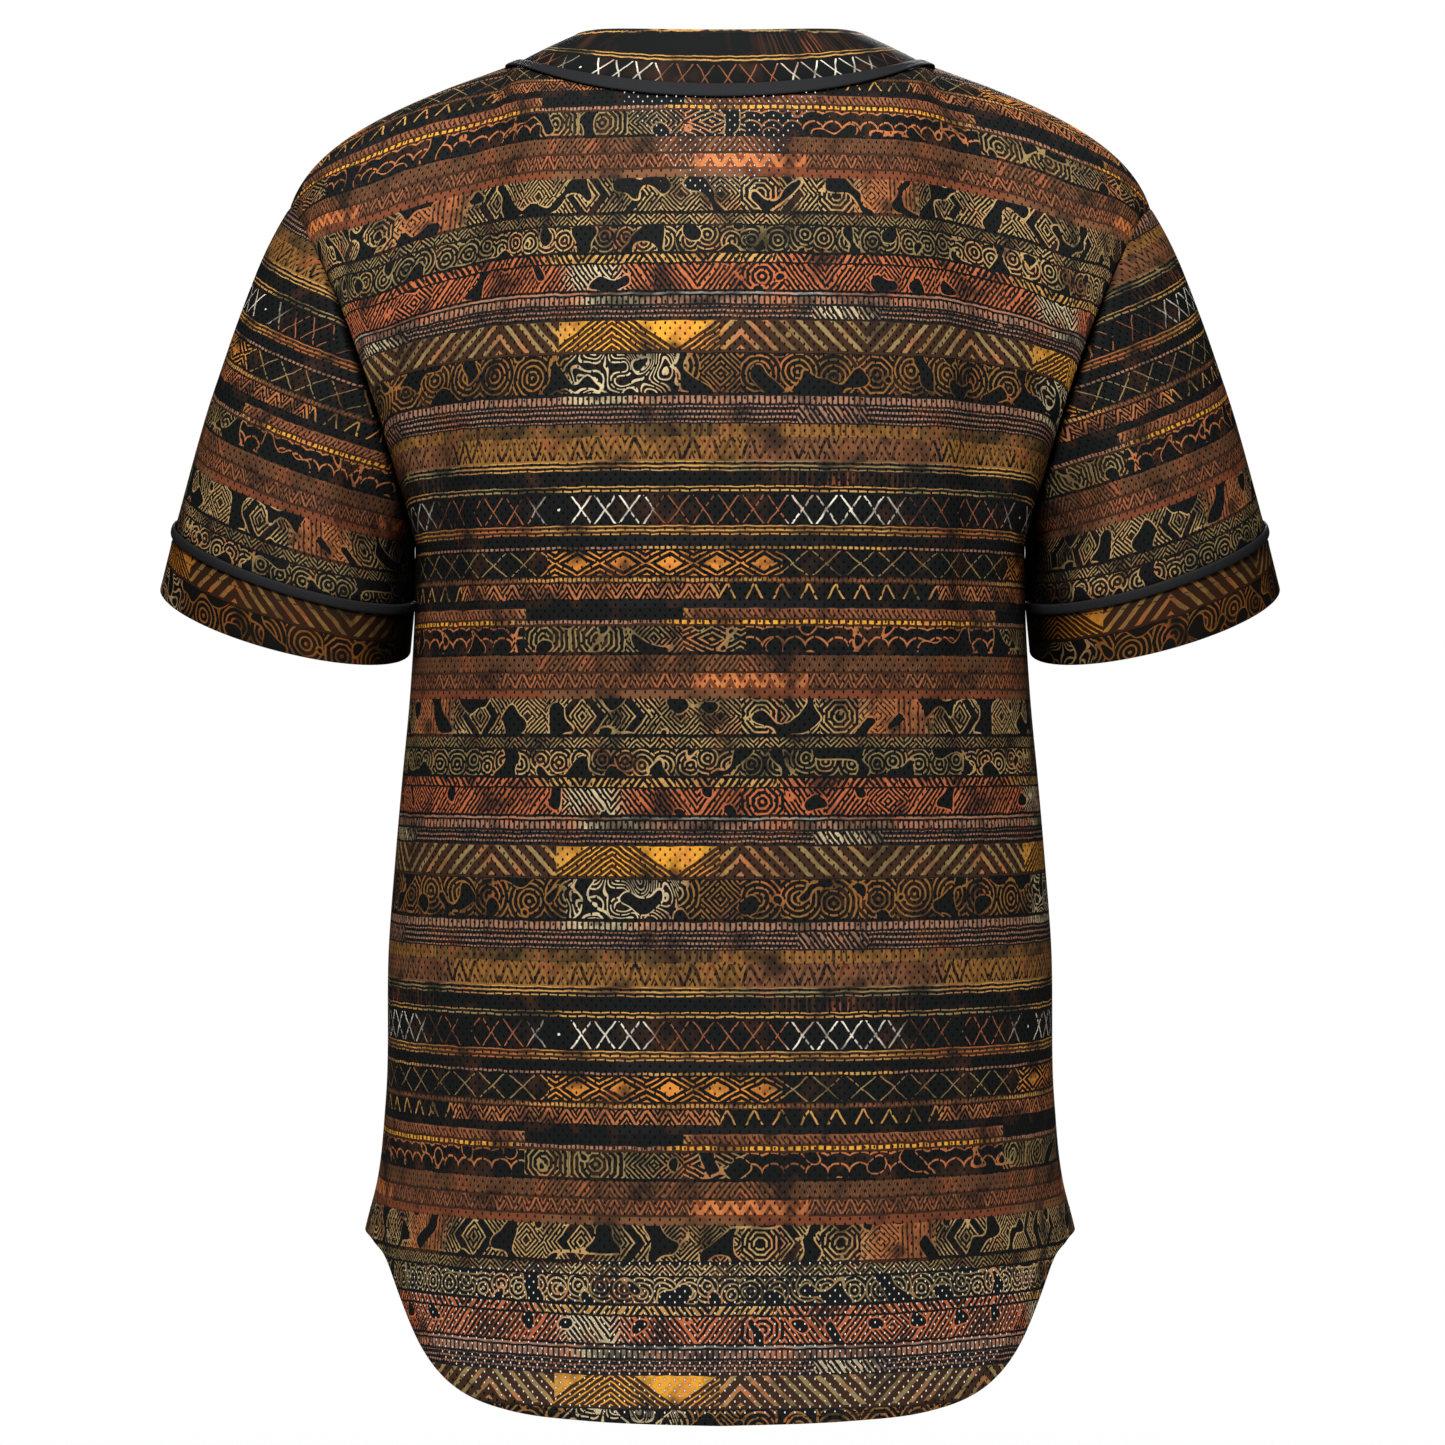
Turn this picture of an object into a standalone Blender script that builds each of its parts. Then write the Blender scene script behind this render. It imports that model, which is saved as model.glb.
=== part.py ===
"""A short-sleeved, button-front baseball jersey in the hollow shape it has when worn.

Metres. +X is the wearer's left, -Y the front, +Z up. The origin is the middle of the neck opening,
level with the points where the shoulder seams meet the neckline. Every cloth piece is a closed wall
whose outer side follows one form: body sections below the armpit, and curves from there up to the
shoulder seam and the neckline. The neighbouring pieces stop a seam gap short of each other.
"""

import math

import bmesh
import bpy
import numpy as np

# Cloth
WALL = 0.0016
SEAM_GAP = 0.0003
LAP_SINK = 0.0026  # how far the under side of the button front lies beneath the upper side
LAP_STEP_START, LAP_STEP_WIDTH = 0.012, 0.009  # where the under side steps down, beside the lap

# Neck and shoulder
NECK_POINT = np.array([0.1185, 0.0, 0.001])
SHOULDER_POINT = np.array([0.2465, 0.0, -0.081])
SHOULDER_INNER_PULL = np.array([0.060, 0.0, -0.0235])
SHOULDER_OUTER_PULL = np.array([-0.0150, 0.0, 0.0405])
BACK_NECK_DROP, BACK_NECK_DEPTH = 0.028, 0.085
FRONT_NECK_DROP, FRONT_NECK_DEPTH = 0.105, 0.098
NECK_DIP_POWER, NECK_V_POWER = 0.8, 1.12  # how the neckline rises to the sides, behind and in front
LAP_HALF = 0.016  # half of the button front's overlap
NECK_SHARE = 0.5  # the share of a panel's half width that ends at the neckline

# Armpit and armhole
ARMPIT = np.array([0.1735, 0.0, -0.268])
ARMPIT_ROW_DIP = 0.038

# Body sections. back and front are their depths from the side seams' plane.
BODY_COLUMNS = ("z", "half_width", "back", "front")
BODY_SECTIONS = (
    (-0.200, 0.1735, 0.135, 0.137),
    (-0.268, 0.1735, 0.135, 0.141),
    (-0.320, 0.1742, 0.134, 0.142),
    (-0.363, 0.1768, 0.131, 0.141),
    (-0.409, 0.1811, 0.128, 0.139),
    (-0.455, 0.1851, 0.126, 0.138),
    (-0.500, 0.1885, 0.126, 0.138),
    (-0.592, 0.1905, 0.130, 0.140),
    (-0.638, 0.1954, 0.133, 0.141),
    (-0.667, 0.2026, 0.135, 0.142),
    (-0.755, 0.2080, 0.142, 0.143),
)
SECTION_POWER = 0.87  # 1 is an ellipse, and less is squarer

# Hem heights. share is 0 at the middle of a panel and 1 at its side seam.
HEM_COLUMNS = ("share", "z")
BACK_HEM = (
    (0.00, -0.7540), (0.19, -0.7520), (0.34, -0.7486), (0.46, -0.7402), (0.545, -0.7259),
    (0.63, -0.6952), (0.70, -0.6760), (0.80, -0.6672), (1.00, -0.6650),
)
FRONT_HEM = (
    (0.00, -0.7030), (0.40, -0.7025), (0.60, -0.7000), (0.75, -0.6930), (0.88, -0.6750), (1.00, -0.6650),
)

# How the columns of a panel rise from the armpit row to its top edge: the two handles of the cubic
# curve at each share. A depth points away from the side seams' plane.
RISE_COLUMNS = ("share", "low_x", "low_depth", "low_z", "top_x", "top_depth", "top_z")
BACK_RISE = (
    (0.00, 0.000, 0.012, 0.105, 0.000, 0.040, -0.052),
    (0.25, 0.000, 0.012, 0.105, 0.002, 0.044, -0.045),
    (0.50, 0.004, 0.014, 0.105, 0.004, 0.064, -0.010),
    (0.75, 0.014, 0.026, 0.095, -0.004, 0.070, -0.006),
    (0.90, 0.010, 0.050, 0.065, -0.012, 0.072, -0.008),
    (1.00, 0.004, 0.072, 0.030, -0.020, 0.072, -0.014),
)
FRONT_RISE = (
    (0.00, 0.000, 0.004, 0.080, 0.000, 0.014, -0.060),
    (0.25, 0.000, 0.004, 0.080, 0.002, 0.022, -0.050),
    (0.50, 0.004, 0.006, 0.090, 0.004, 0.060, -0.012),
    (0.75, 0.010, 0.014, 0.085, -0.008, 0.066, -0.008),
    (0.90, 0.004, 0.038, 0.060, -0.018, 0.066, -0.010),
    (1.00, -0.002, 0.064, 0.028, -0.030, 0.066, -0.018),
)

# The largest folds, as soft ridges and troughs of the panels. side is 1 on the back. x and z are the
# middle of the fold, lean is its angle from upright, and a trough's height is negative.
SIDE_FADE, TOP_FADE = 0.12, 0.15  # the share and the level over which they fade out at the seams
FOLD_COLUMNS = ("side", "x", "z", "lean", "half_length", "half_width", "height")
FOLDS = (
    (1, -0.120, -0.255, 2, 0.120, 0.012, 0.0024),
    (1, -0.141, -0.270, 5, 0.130, 0.012, -0.0032),
    (1, 0.130, -0.250, -3, 0.100, 0.014, 0.0018),
    (1, 0.150, -0.280, -7, 0.110, 0.012, -0.0026),
    (1, 0.168, -0.205, -24, 0.050, 0.010, -0.0022),
    (1, -0.170, -0.200, 26, 0.045, 0.010, -0.0020),
    (1, 0.062, -0.655, 4, 0.110, 0.026, 0.0030),
    (1, 0.112, -0.640, 8, 0.095, 0.020, -0.0026),
    (1, -0.012, -0.680, -3, 0.085, 0.026, -0.0024),
    (1, -0.078, -0.650, -5, 0.115, 0.027, 0.0032),
    (1, -0.124, -0.630, -8, 0.090, 0.018, -0.0024),
    (-1, 0.118, -0.265, -5, 0.110, 0.014, 0.0022),
    (-1, 0.142, -0.255, -10, 0.120, 0.012, -0.0030),
    (-1, -0.124, -0.270, 6, 0.115, 0.014, 0.0024),
    (-1, -0.146, -0.250, 9, 0.110, 0.012, -0.0028),
    (-1, 0.075, -0.590, 5, 0.120, 0.024, 0.0028),
    (-1, 0.122, -0.600, 7, 0.100, 0.020, -0.0024),
    (-1, -0.070, -0.600, -5, 0.125, 0.025, 0.0030),
    (-1, -0.118, -0.590, -8, 0.095, 0.019, -0.0026),
)
# Sleeve folds. turn is degrees round from the under side towards the back, and along is 0 at the armhole.
SLEEVE_FADE = 1 / 6
SLEEVE_FOLD_COLUMNS = ("turn", "along", "half_turn", "half_along", "height")
SLEEVE_FOLDS = (
    (58, 0.50, 13, 0.28, -0.0030),
    (86, 0.58, 13, 0.26, 0.0024),
    (116, 0.50, 15, 0.24, -0.0018),
    (150, 0.62, 16, 0.22, 0.0012),
    (302, 0.50, 13, 0.28, -0.0028),
    (272, 0.60, 14, 0.26, 0.0022),
    (236, 0.48, 15, 0.24, -0.0016),
)

# Sleeves. A ring is its centre and its reach to the outer side and to the back, on the wearer's left.
CUFF_JOIN = np.array([(0.2475, -0.026, -0.2860), (0.0680, 0.004, 0.0195), (-0.010, 0.074, -0.0205)])
SLEEVE_END = np.array([(0.2520, -0.028, -0.3160), (0.0720, 0.005, 0.0165), (-0.012, 0.077, -0.0215)])
ARMHOLE_START = 0.0009  # from the seam line, so that the two walls clear each other inside the fold
SLEEVE_TOP_PULL, SLEEVE_SIDE_PULL = np.array([0.030, 0.0, -0.046]), np.array([0.030, -0.004, -0.040])
SLEEVE_UNDER_PULL = np.array([0.004, 0.0, -0.018])
SLEEVE_END_PULL = (0.055, 0.016)  # back along the axis, at the outer and at the under side

# Neckband and its piping. The band's free edge is given at the side, the back and the front's middle.
BAND_SIDE, BAND_BACK = np.array([0.082, 0.0, 0.0165]), np.array([0.0, 0.079, 0.0073])
BAND_FRONT = np.array([0.0, -0.088, -0.061])
BAND_V_POWER, BAND_FRONT_WIDER = 0.85, 3  # the shape of the free edge's V
BAND_CROWN = 0.0008
SIDE_TURN, SIDE_SLOPE = 0.22, -0.35  # how widely and how steeply the piping lies on the shoulders
BAND_START = 0.0022  # from the seam line, so that the two walls clear each other inside the fold
NECK_PIPING_HALF, SLEEVE_PIPING_HALF, PIPING_RISE = 0.0040, 0.0030, 0.0016
PIPING_SHAPE = ((-1.0, 0.15), (-0.75, 0.75), (0.0, 1.0), (0.75, 0.75), (1.0, 0.15))

# Button front
PLACKET_WALL = 0.0010
PLACKET_TOP, PLACKET_END = 0.036, 0.995  # levels short of the front's top and hem
BUTTON_COUNT, BUTTON_TOP, BUTTON_STEP = 6, -0.132, 0.098
BUTTON_RADIUS, BUTTON_THICK = 0.0060, 0.0026
# A button's turned profile: shares of its radius and its thickness, from its back to its dish
BUTTON_PROFILE = ((0.70, 0.0), (0.95, 0.22), (1.0, 0.55), (0.92, 0.92), (0.80, 1.0), (0.62, 0.80))

# Grid sizes. The shares of a panel's columns are closest where the hem is steep.
PANEL_SHARES = (0.0, 0.09, 0.18, 0.27, 0.36, 0.44, 0.52, 0.58, 0.64, 0.70, 0.79, 0.89, 1.0)
RISE_ROWS, DROP_ROWS = 11, 17
ARMHOLE_STEPS, SLEEVE_RINGS, CUFF_RINGS = 14, 8, 2
NECK_STEPS, BAND_ROWS = 46, 3
BUTTON_SIDES = 12
SHARP_ANGLE = math.radians(40)

# Materials: linear colour, roughness
COLOURS = {
    "mesh_cloth": ((0.055, 0.028, 0.016, 1.0), 0.80),
    "band_cloth": ((0.045, 0.022, 0.012, 1.0), 0.72),
    "piping": ((0.012, 0.012, 0.013, 1.0), 0.65),
    "button": ((0.015, 0.014, 0.014, 1.0), 0.30),
}


def smooth_table(table, columns, key, value, at):
    """Reads a table's column at any key, along a smooth curve through its rows."""
    rows = sorted(table, key=lambda row: row[columns.index(key)])
    keys = np.array([row[columns.index(key)] for row in rows])
    values = np.array([row[columns.index(value)] for row in rows])
    slopes = np.gradient(values, keys)
    at = np.clip(np.asarray(at, float), keys[0], keys[-1])
    left = np.clip(np.searchsorted(keys, at, side="right") - 1, 0, len(keys) - 2)
    step = keys[left + 1] - keys[left]
    t = (at - keys[left]) / step
    return (
        values[left] * (2 * t**3 - 3 * t**2 + 1)
        + slopes[left] * step * (t**3 - 2 * t**2 + t)
        + values[left + 1] * (3 * t**2 - 2 * t**3)
        + slopes[left + 1] * step * (t**3 - t**2)
    )


def bezier(start, start_pull, end_pull, end, t):
    """A cubic from start to end. The pulls are its handles, seen from their own ends."""
    t = np.asarray(t, float)[..., None]
    return (
        start * (1 - t) ** 3
        + 3 * (start + start_pull) * t * (1 - t) ** 2
        + 3 * (end + end_pull) * t**2 * (1 - t)
        + end * t**3
    )


def unit(vectors):
    return vectors / np.maximum(np.linalg.norm(vectors, axis=-1, keepdims=True), 1e-12)


def body_point(share, z, side):
    """A point of the body below the armpit row. share runs from -1 to 1 and side is 1 at the back."""
    turn = share * math.pi / 2
    half_width = smooth_table(BODY_SECTIONS, BODY_COLUMNS, "z", "half_width", z)
    depth = smooth_table(BODY_SECTIONS, BODY_COLUMNS, "z", "back" if side > 0 else "front", z)
    x = half_width * np.sign(turn) * np.abs(np.sin(turn)) ** SECTION_POWER
    y = side * depth * np.abs(np.cos(turn)) ** SECTION_POWER
    return np.stack([x, y, np.broadcast_to(z, x.shape)], axis=-1)


def armpit_row(share, side):
    """The row that ends at the armpits. It dips between them, so that rows leave the armhole squarely."""
    return body_point(share, ARMPIT[2] - ARMPIT_ROW_DIP * (1 - np.abs(share) ** 3), side)


def neckline_height(x, side):
    """Height of the neckline over a distance from the middle: a shallow dip behind, a soft V in front."""
    across = np.abs(x) / NECK_POINT[0]
    if side > 0:
        return -BACK_NECK_DROP * np.clip(1 - across**2, 0, None) ** NECK_DIP_POWER
    lap = LAP_HALF / NECK_POINT[0]
    rise = np.clip((across - lap) / (1 - lap), 0, 1) ** NECK_V_POWER
    return -FRONT_NECK_DROP * (1 - rise)


def top_row(share, side):
    """The panel's top edge: the neckline in the middle and the shoulder seams at the ends."""
    share = np.asarray(share, float)
    size = np.abs(share)
    depth = BACK_NECK_DEPTH if side > 0 else FRONT_NECK_DEPTH
    inner = np.minimum(size, NECK_SHARE) * math.pi / 2
    neck_x = NECK_POINT[0] * (np.sin(inner) / math.sin(NECK_SHARE * math.pi / 2)) ** SECTION_POWER
    neck_y = side * depth * np.sqrt(np.clip(1 - (neck_x / NECK_POINT[0]) ** 2, 0, None))
    neck = np.stack([neck_x, neck_y, neckline_height(neck_x, side)], axis=-1)
    along = np.clip((size - NECK_SHARE) / (1 - NECK_SHARE), 0, 1)
    shoulder = bezier(NECK_POINT, SHOULDER_INNER_PULL, SHOULDER_OUTER_PULL, SHOULDER_POINT, along)
    row = np.where((size > NECK_SHARE)[..., None], shoulder, neck)
    row[..., 0] *= np.where(share < 0, -1.0, 1.0)
    return row


def rise_pulls(share, side):
    """The two handles of a column between the armpit row and the top."""
    table = BACK_RISE if side > 0 else FRONT_RISE
    size = np.abs(share)
    mirror = np.where(np.asarray(share) < 0, -1.0, 1.0)
    read = {name: smooth_table(table, RISE_COLUMNS, "share", name, size) for name in RISE_COLUMNS[1:]}
    low = np.stack([read["low_x"] * mirror, side * read["low_depth"], read["low_z"]], axis=-1)
    top = np.stack([read["top_x"] * mirror, side * read["top_depth"], read["top_z"]], axis=-1)
    return low, top


def panel_point(share, level, side):
    """The cloth's outer side. level is 1 at the top edge, 0 at the armpit row and -1 at the hem."""
    share, level = np.broadcast_arrays(np.asarray(share, float), np.asarray(level, float))
    low, top = rise_pulls(share, side)
    up = bezier(armpit_row(share, side), low, top, top_row(share, side), np.clip(level, 0, 1))
    drop = np.clip(-level, 0, 1)
    hem = smooth_table(BACK_HEM if side > 0 else FRONT_HEM, HEM_COLUMNS, "share", "z", np.abs(share))
    vent = BACK_HEM[-1][HEM_COLUMNS.index("z")]
    row_start = ARMPIT[2] - ARMPIT_ROW_DIP * (1 - np.abs(share) ** 3) * (1 - drop) ** 2
    z = row_start + (vent - row_start) * drop + (hem - vent) * drop**4
    down = body_point(share, z, side)
    return np.where((level > 0)[..., None], up, down)


def fold_height(points, side):
    """How far the folds lift the cloth at each point. They fade out towards the seams' ends."""
    height = np.zeros(points.shape[:-1])
    for row in FOLDS:
        fold = dict(zip(FOLD_COLUMNS, row))
        if fold["side"] != side:
            continue
        turn = math.radians(fold["lean"])
        x, z = points[..., 0] - fold["x"], points[..., 2] - fold["z"]
        across = (x * math.cos(turn) + z * math.sin(turn)) / fold["half_width"]
        along = (z * math.cos(turn) - x * math.sin(turn)) / fold["half_length"]
        height += fold["height"] * np.exp(-(across**2) - along**4)
    return height


def sleeve_fold_height(turn, along):
    """The same for a sleeve, whose two ends stay as they are."""
    height = np.zeros(np.broadcast_shapes(turn.shape, along.shape))
    for row in SLEEVE_FOLDS:
        fold = dict(zip(SLEEVE_FOLD_COLUMNS, row))
        across = (turn - math.radians(fold["turn"])) / math.radians(fold["half_turn"])
        length = (along - fold["along"]) / fold["half_along"]
        height += fold["height"] * np.exp(-(across**2) - length**4)
    return height * np.clip(np.minimum(along, 1 - along) / SLEEVE_FADE, 0, 1)


def normals_of(points, wrap_columns=False):
    """Unit normals of a grid of points, on the side that faces away from its middle line."""
    along_rows = np.gradient(points, axis=0, edge_order=2 if len(points) > 2 else 1)
    if wrap_columns:
        across = np.roll(points, -1, axis=1) - np.roll(points, 1, axis=1)
    else:
        across = np.gradient(points, axis=1, edge_order=2)
    return unit(np.cross(across, along_rows))


def new_object(name, vertices, faces, material):
    mesh = bpy.data.meshes.new(name)
    mesh.from_pydata([tuple(v) for v in vertices], [], faces)
    mesh.materials.append(material)
    obj = bpy.data.objects.new(name, mesh)
    bpy.context.scene.collection.objects.link(obj)
    outward = bmesh.new()
    outward.from_mesh(mesh)
    bmesh.ops.recalc_face_normals(outward, faces=outward.faces)
    if outward.calc_volume(signed=True) < 0:
        bmesh.ops.reverse_faces(outward, faces=outward.faces)
    outward.to_mesh(mesh)
    outward.free()
    mesh.shade_smooth()
    mesh.set_sharp_from_angle(angle=SHARP_ANGLE)


def wall(name, outer, inner, material, wrap_columns=False):
    """A closed wall between two grids of the same size."""
    rows, columns = outer.shape[:2]
    vertices = np.concatenate([outer.reshape(-1, 3), inner.reshape(-1, 3)])
    below = rows * columns
    last = columns if wrap_columns else columns - 1
    faces = []
    for row in range(rows - 1):
        for column in range(last):
            a, b = row * columns + column, row * columns + (column + 1) % columns
            c, d = b + columns, a + columns
            faces.append((a, b, c, d))
            faces.append((below + d, below + c, below + b, below + a))
    for row in (0, rows - 1):
        for column in range(last):
            a, b = row * columns + column, row * columns + (column + 1) % columns
            faces.append((a, b, below + b, below + a))
    if not wrap_columns:
        for column in (0, columns - 1):
            for row in range(rows - 1):
                a, d = row * columns + column, (row + 1) * columns + column
                faces.append((a, d, below + d, below + a))
    new_object(name, vertices, faces, material)


def tube(name, rings, material, closed):
    """A solid swept along rings of points, closed into a loop or capped at both ends."""
    count, sides = rings.shape[:2]
    faces = []
    for ring in range(count if closed else count - 1):
        after = (ring + 1) % count
        for side in range(sides):
            a, b = ring * sides + side, ring * sides + (side + 1) % sides
            faces.append((a, b, after * sides + (side + 1) % sides, after * sides + side))
    if not closed:
        faces.append(tuple(range(sides)))
        faces.append(tuple((count - 1) * sides + side for side in range(sides)))
    new_object(name, rings.reshape(-1, 3), faces, material)


def panel_levels():
    """Levels of a panel's rows, from the top edge to the hem."""
    rise = np.linspace(1, 0, RISE_ROWS + 1)
    drop = -np.linspace(0, 1, DROP_ROWS + 1)[1:]
    return np.concatenate([rise, drop])


def panel_normals(points, side):
    """Normals of a panel's grid, on the outer side."""
    normals = normals_of(points)
    return normals if normals[..., 1].sum() * side > 0 else -normals


def panel_wall(name, shares, side, material, sink=None):
    """One body panel. Its seam edges lie along the side seams' plane, so that panels never cross."""
    levels = panel_levels()
    outer = panel_point(shares[None, :], levels[:, None], side)
    fade = np.clip((1 - np.abs(shares)) / SIDE_FADE, 0, 1) * np.clip((1 - levels) / TOP_FADE, 0, 1)[:, None]
    outer += panel_normals(outer, side) * (fold_height(outer, side) * fade)[..., None]
    normals = panel_normals(outer, side)
    on_side_seam = (np.abs(shares) > 1 - 1e-9)[None, :] & (levels <= 0)[:, None]
    on_shoulder_seam = (np.abs(shares) >= NECK_SHARE)[None, :] & (levels >= 1)[:, None]
    normals[on_side_seam | on_shoulder_seam, 1] = 0
    normals = unit(normals)
    if sink is not None:
        outer = outer - normals * sink(outer)[..., None]
    outer[..., 1] += side * SEAM_GAP / 2
    wall(name, outer, outer - normals * WALL, material)


def lap_sink(points):
    """How deep the under side of the button front lies: it steps down beside the upper side's edge."""
    step = np.clip((points[..., 0] + LAP_HALF + LAP_STEP_START) / LAP_STEP_WIDTH, 0, 1)
    return LAP_SINK * step * step * (3 - 2 * step)


def share_at(x):
    """The share of the half width that lies a small distance from the middle."""
    return (x / ARMPIT[0]) ** (1 / SECTION_POWER) * 2 / math.pi


def body_panels(cloth):
    half = np.array(PANEL_SHARES)
    panel_wall("back", np.concatenate([-half[:0:-1], half]), 1, cloth)
    lap = share_at(LAP_HALF)
    middle = np.array([-lap, 0.0, lap])
    step = share_at(LAP_HALF + LAP_STEP_START - LAP_STEP_WIDTH * np.array([1.0, 0.5, 0.0]))
    outer = half[half > step[-1] + PANEL_SHARES[1] / 4]
    panel_wall("front_left", np.concatenate([middle, outer]), -1, cloth)
    panel_wall("front_right", np.concatenate([-outer[::-1], -step[::-1], middle]), -1, cloth, sink=lap_sink)


def armhole(count):
    """Points round the armhole on the wearer's left: armpit, back, shoulder point, front."""
    t = np.linspace(0, 1, count + 1)
    edges = []
    for side in (1, -1):
        low, top = rise_pulls(np.array(1.0), side)
        edges.append(bezier(ARMPIT, low, top, SHOULDER_POINT, t))
    return np.concatenate([edges[0][:-1], edges[1][:0:-1]])


def sleeve_ring(ring, count):
    """An ellipse round the sleeve: under side first, then the back, the outer side and the front."""
    centre, outer, back = ring
    turn = np.linspace(0, 2 * math.pi, 2 * count, endpoint=False)[:, None]
    return centre - outer * np.cos(turn) + back * np.sin(turn)


def sleeve_point(along):
    """Outer side of the mesh sleeve. along is 0 at the armhole and 1 at the cuff's piping."""
    start = armhole(ARMHOLE_STEPS)
    end = sleeve_ring(CUFF_JOIN, ARMHOLE_STEPS)
    turn = np.linspace(0, 2 * math.pi, 2 * ARMHOLE_STEPS, endpoint=False)[:, None]
    outer_share, side_share = (1 - np.cos(turn)) / 2, np.abs(np.sin(turn))
    plain = SLEEVE_UNDER_PULL * (1 - outer_share) + SLEEVE_TOP_PULL * outer_share
    pull = plain * (1 - side_share) + SLEEVE_SIDE_PULL * side_share
    start = start + ARMHOLE_START * unit(unit(pull) + np.array([1.0, 0.0, 0.0]))
    axis = unit(np.cross(CUFF_JOIN[2], CUFF_JOIN[1]))
    end_length = SLEEVE_END_PULL[1] + (SLEEVE_END_PULL[0] - SLEEVE_END_PULL[1]) * outer_share
    along = np.asarray(along, float)[:, None] * np.ones(len(start))
    return bezier(start, pull, -axis * end_length, end, along)


def mirrored(points, hand):
    return points * np.array([hand, 1.0, 1.0])


def outward_from_middle(points, normals):
    middle = points.mean(axis=1, keepdims=True)
    return normals if (normals * (points - middle)).sum() > 0 else -normals


def piping_ring(join, to_one_side, to_other_side, normals, half_width):
    """Rings of a flat, rounded strip that lies over a seam."""
    lift = SEAM_GAP * 2
    rings = []
    for share, rise in PIPING_SHAPE:
        direction = to_one_side if share < 0 else to_other_side
        rings.append(join + direction * abs(share) * half_width + normals * (lift + PIPING_RISE * rise))
    for share, _ in PIPING_SHAPE[::-2]:
        direction = to_one_side if share < 0 else to_other_side
        rings.append(join + direction * abs(share) * half_width + normals * lift)
    return np.stack(rings, axis=1)


def sleeve(hand, word, cloth, band_cloth, piping):
    """One sleeve: the mesh tube, the plain cuff band below it and the piping over their seam."""
    tube_points = sleeve_point(np.linspace(0, 1, SLEEVE_RINGS + 1))
    join = sleeve_ring(CUFF_JOIN, ARMHOLE_STEPS)
    end = sleeve_ring(SLEEVE_END, ARMHOLE_STEPS)
    down = unit(end - join)
    tube_points[-1] -= down * SEAM_GAP / 2
    turn = np.linspace(0, 2 * math.pi, 2 * ARMHOLE_STEPS, endpoint=False)
    height = sleeve_fold_height(turn, np.linspace(0, 1, SLEEVE_RINGS + 1)[:, None])
    tube_points += outward_from_middle(tube_points, normals_of(tube_points, True)) * height[..., None]
    normals = outward_from_middle(tube_points, normals_of(tube_points, True))
    outer, inner = mirrored(tube_points, hand), mirrored(tube_points - normals * WALL, hand)
    wall(f"sleeve_{word}", outer, inner, cloth, True)

    share = np.linspace(0, 1, CUFF_RINGS + 1)[:, None, None]
    cuff = (join + down * SEAM_GAP / 2) * (1 - share) + end * share
    cuff_normals = outward_from_middle(cuff, normals_of(cuff, True))
    wall(f"cuff_{word}", mirrored(cuff, hand), mirrored(cuff - cuff_normals * WALL, hand), band_cloth, True)

    up = unit(tube_points[-2] - tube_points[-1])
    seam_normals = unit(normals[-1] + cuff_normals[0])
    rings = piping_ring(join, up, down, seam_normals, SLEEVE_PIPING_HALF)
    tube(f"cuff_piping_{word}", mirrored(rings, hand), piping, closed=True)


def neck_ring(turn):
    """The neck seam and the neckband's free edge. turn is 0 at the back and pi at the front's middle."""
    size = np.abs(turn)
    x = np.sin(size)
    front = size > math.pi / 2
    half = np.where(front, math.pi - size, size)
    past_middle = size > math.pi
    x = np.where(past_middle, -np.abs(np.sin(size)), x)
    height = np.where(
        front, neckline_height(NECK_POINT[0] * x, -1), neckline_height(NECK_POINT[0] * x, 1)
    )
    depth = np.where(front, -FRONT_NECK_DEPTH, BACK_NECK_DEPTH) * np.cos(half)
    mirror = np.where(turn < 0, -1.0, 1.0)
    seam = np.stack([NECK_POINT[0] * x * mirror, depth, height], axis=-1)
    edge_y = np.where(front, BAND_FRONT[1], BAND_BACK[1]) * np.cos(half)
    lap = LAP_HALF / BAND_SIDE[0]
    rise = np.clip((np.abs(x) - lap) / (1 - lap), 0, 1)
    front_z = BAND_FRONT[2] + (BAND_SIDE[2] - BAND_FRONT[2]) * rise**BAND_V_POWER
    back_z = BAND_BACK[2] + (BAND_SIDE[2] - BAND_BACK[2]) * np.abs(x) ** 2
    wider = np.where(front, np.clip(1 - np.abs(x), 0, 1) ** BAND_FRONT_WIDER, 0)
    edge_x = BAND_SIDE[0] + (NECK_POINT[0] - BAND_SIDE[0]) * np.where(past_middle, 1, wider)
    edge = np.stack([edge_x * x * mirror, edge_y, np.where(front, front_z, back_z)], axis=-1)
    return seam, edge


def neck_frame(turn):
    """The seam with the directions along the body, along the band and straight out of the cloth."""
    seam, edge = neck_ring(turn)
    size = np.abs(turn)
    x_share = np.clip(np.abs(seam[:, 0]) / NECK_POINT[0], 0, 1)
    half_turn = np.arcsin(np.clip(math.sin(NECK_SHARE * math.pi / 2) * x_share ** (1 / SECTION_POWER), 0, 1))
    share = np.sign(seam[:, 0]) * half_turn * 2 / math.pi
    pulls = [rise_pulls(share, side)[1] for side in (1, -1)]
    to_body = unit(np.where((size > math.pi / 2)[:, None], pulls[1], pulls[0]))
    near_side = np.exp(-(((size - math.pi / 2) / SIDE_TURN) ** 2))[:, None]
    outwards = np.stack([np.sign(seam[:, 0]), seam[:, 0] * 0, np.full(len(seam), SIDE_SLOPE)], axis=-1)
    to_body = unit(to_body * (1 - near_side) + unit(outwards) * near_side)
    to_band = unit(edge - seam)
    along = np.gradient(seam, axis=0, edge_order=2)
    normal = unit(np.cross(along, to_body - to_band))
    inside = np.array([0.0, 0.0, ARMPIT[2]])
    if (normal * (seam - inside)).sum() < 0:
        normal = -normal
    return seam, edge, to_body, to_band, normal


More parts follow.
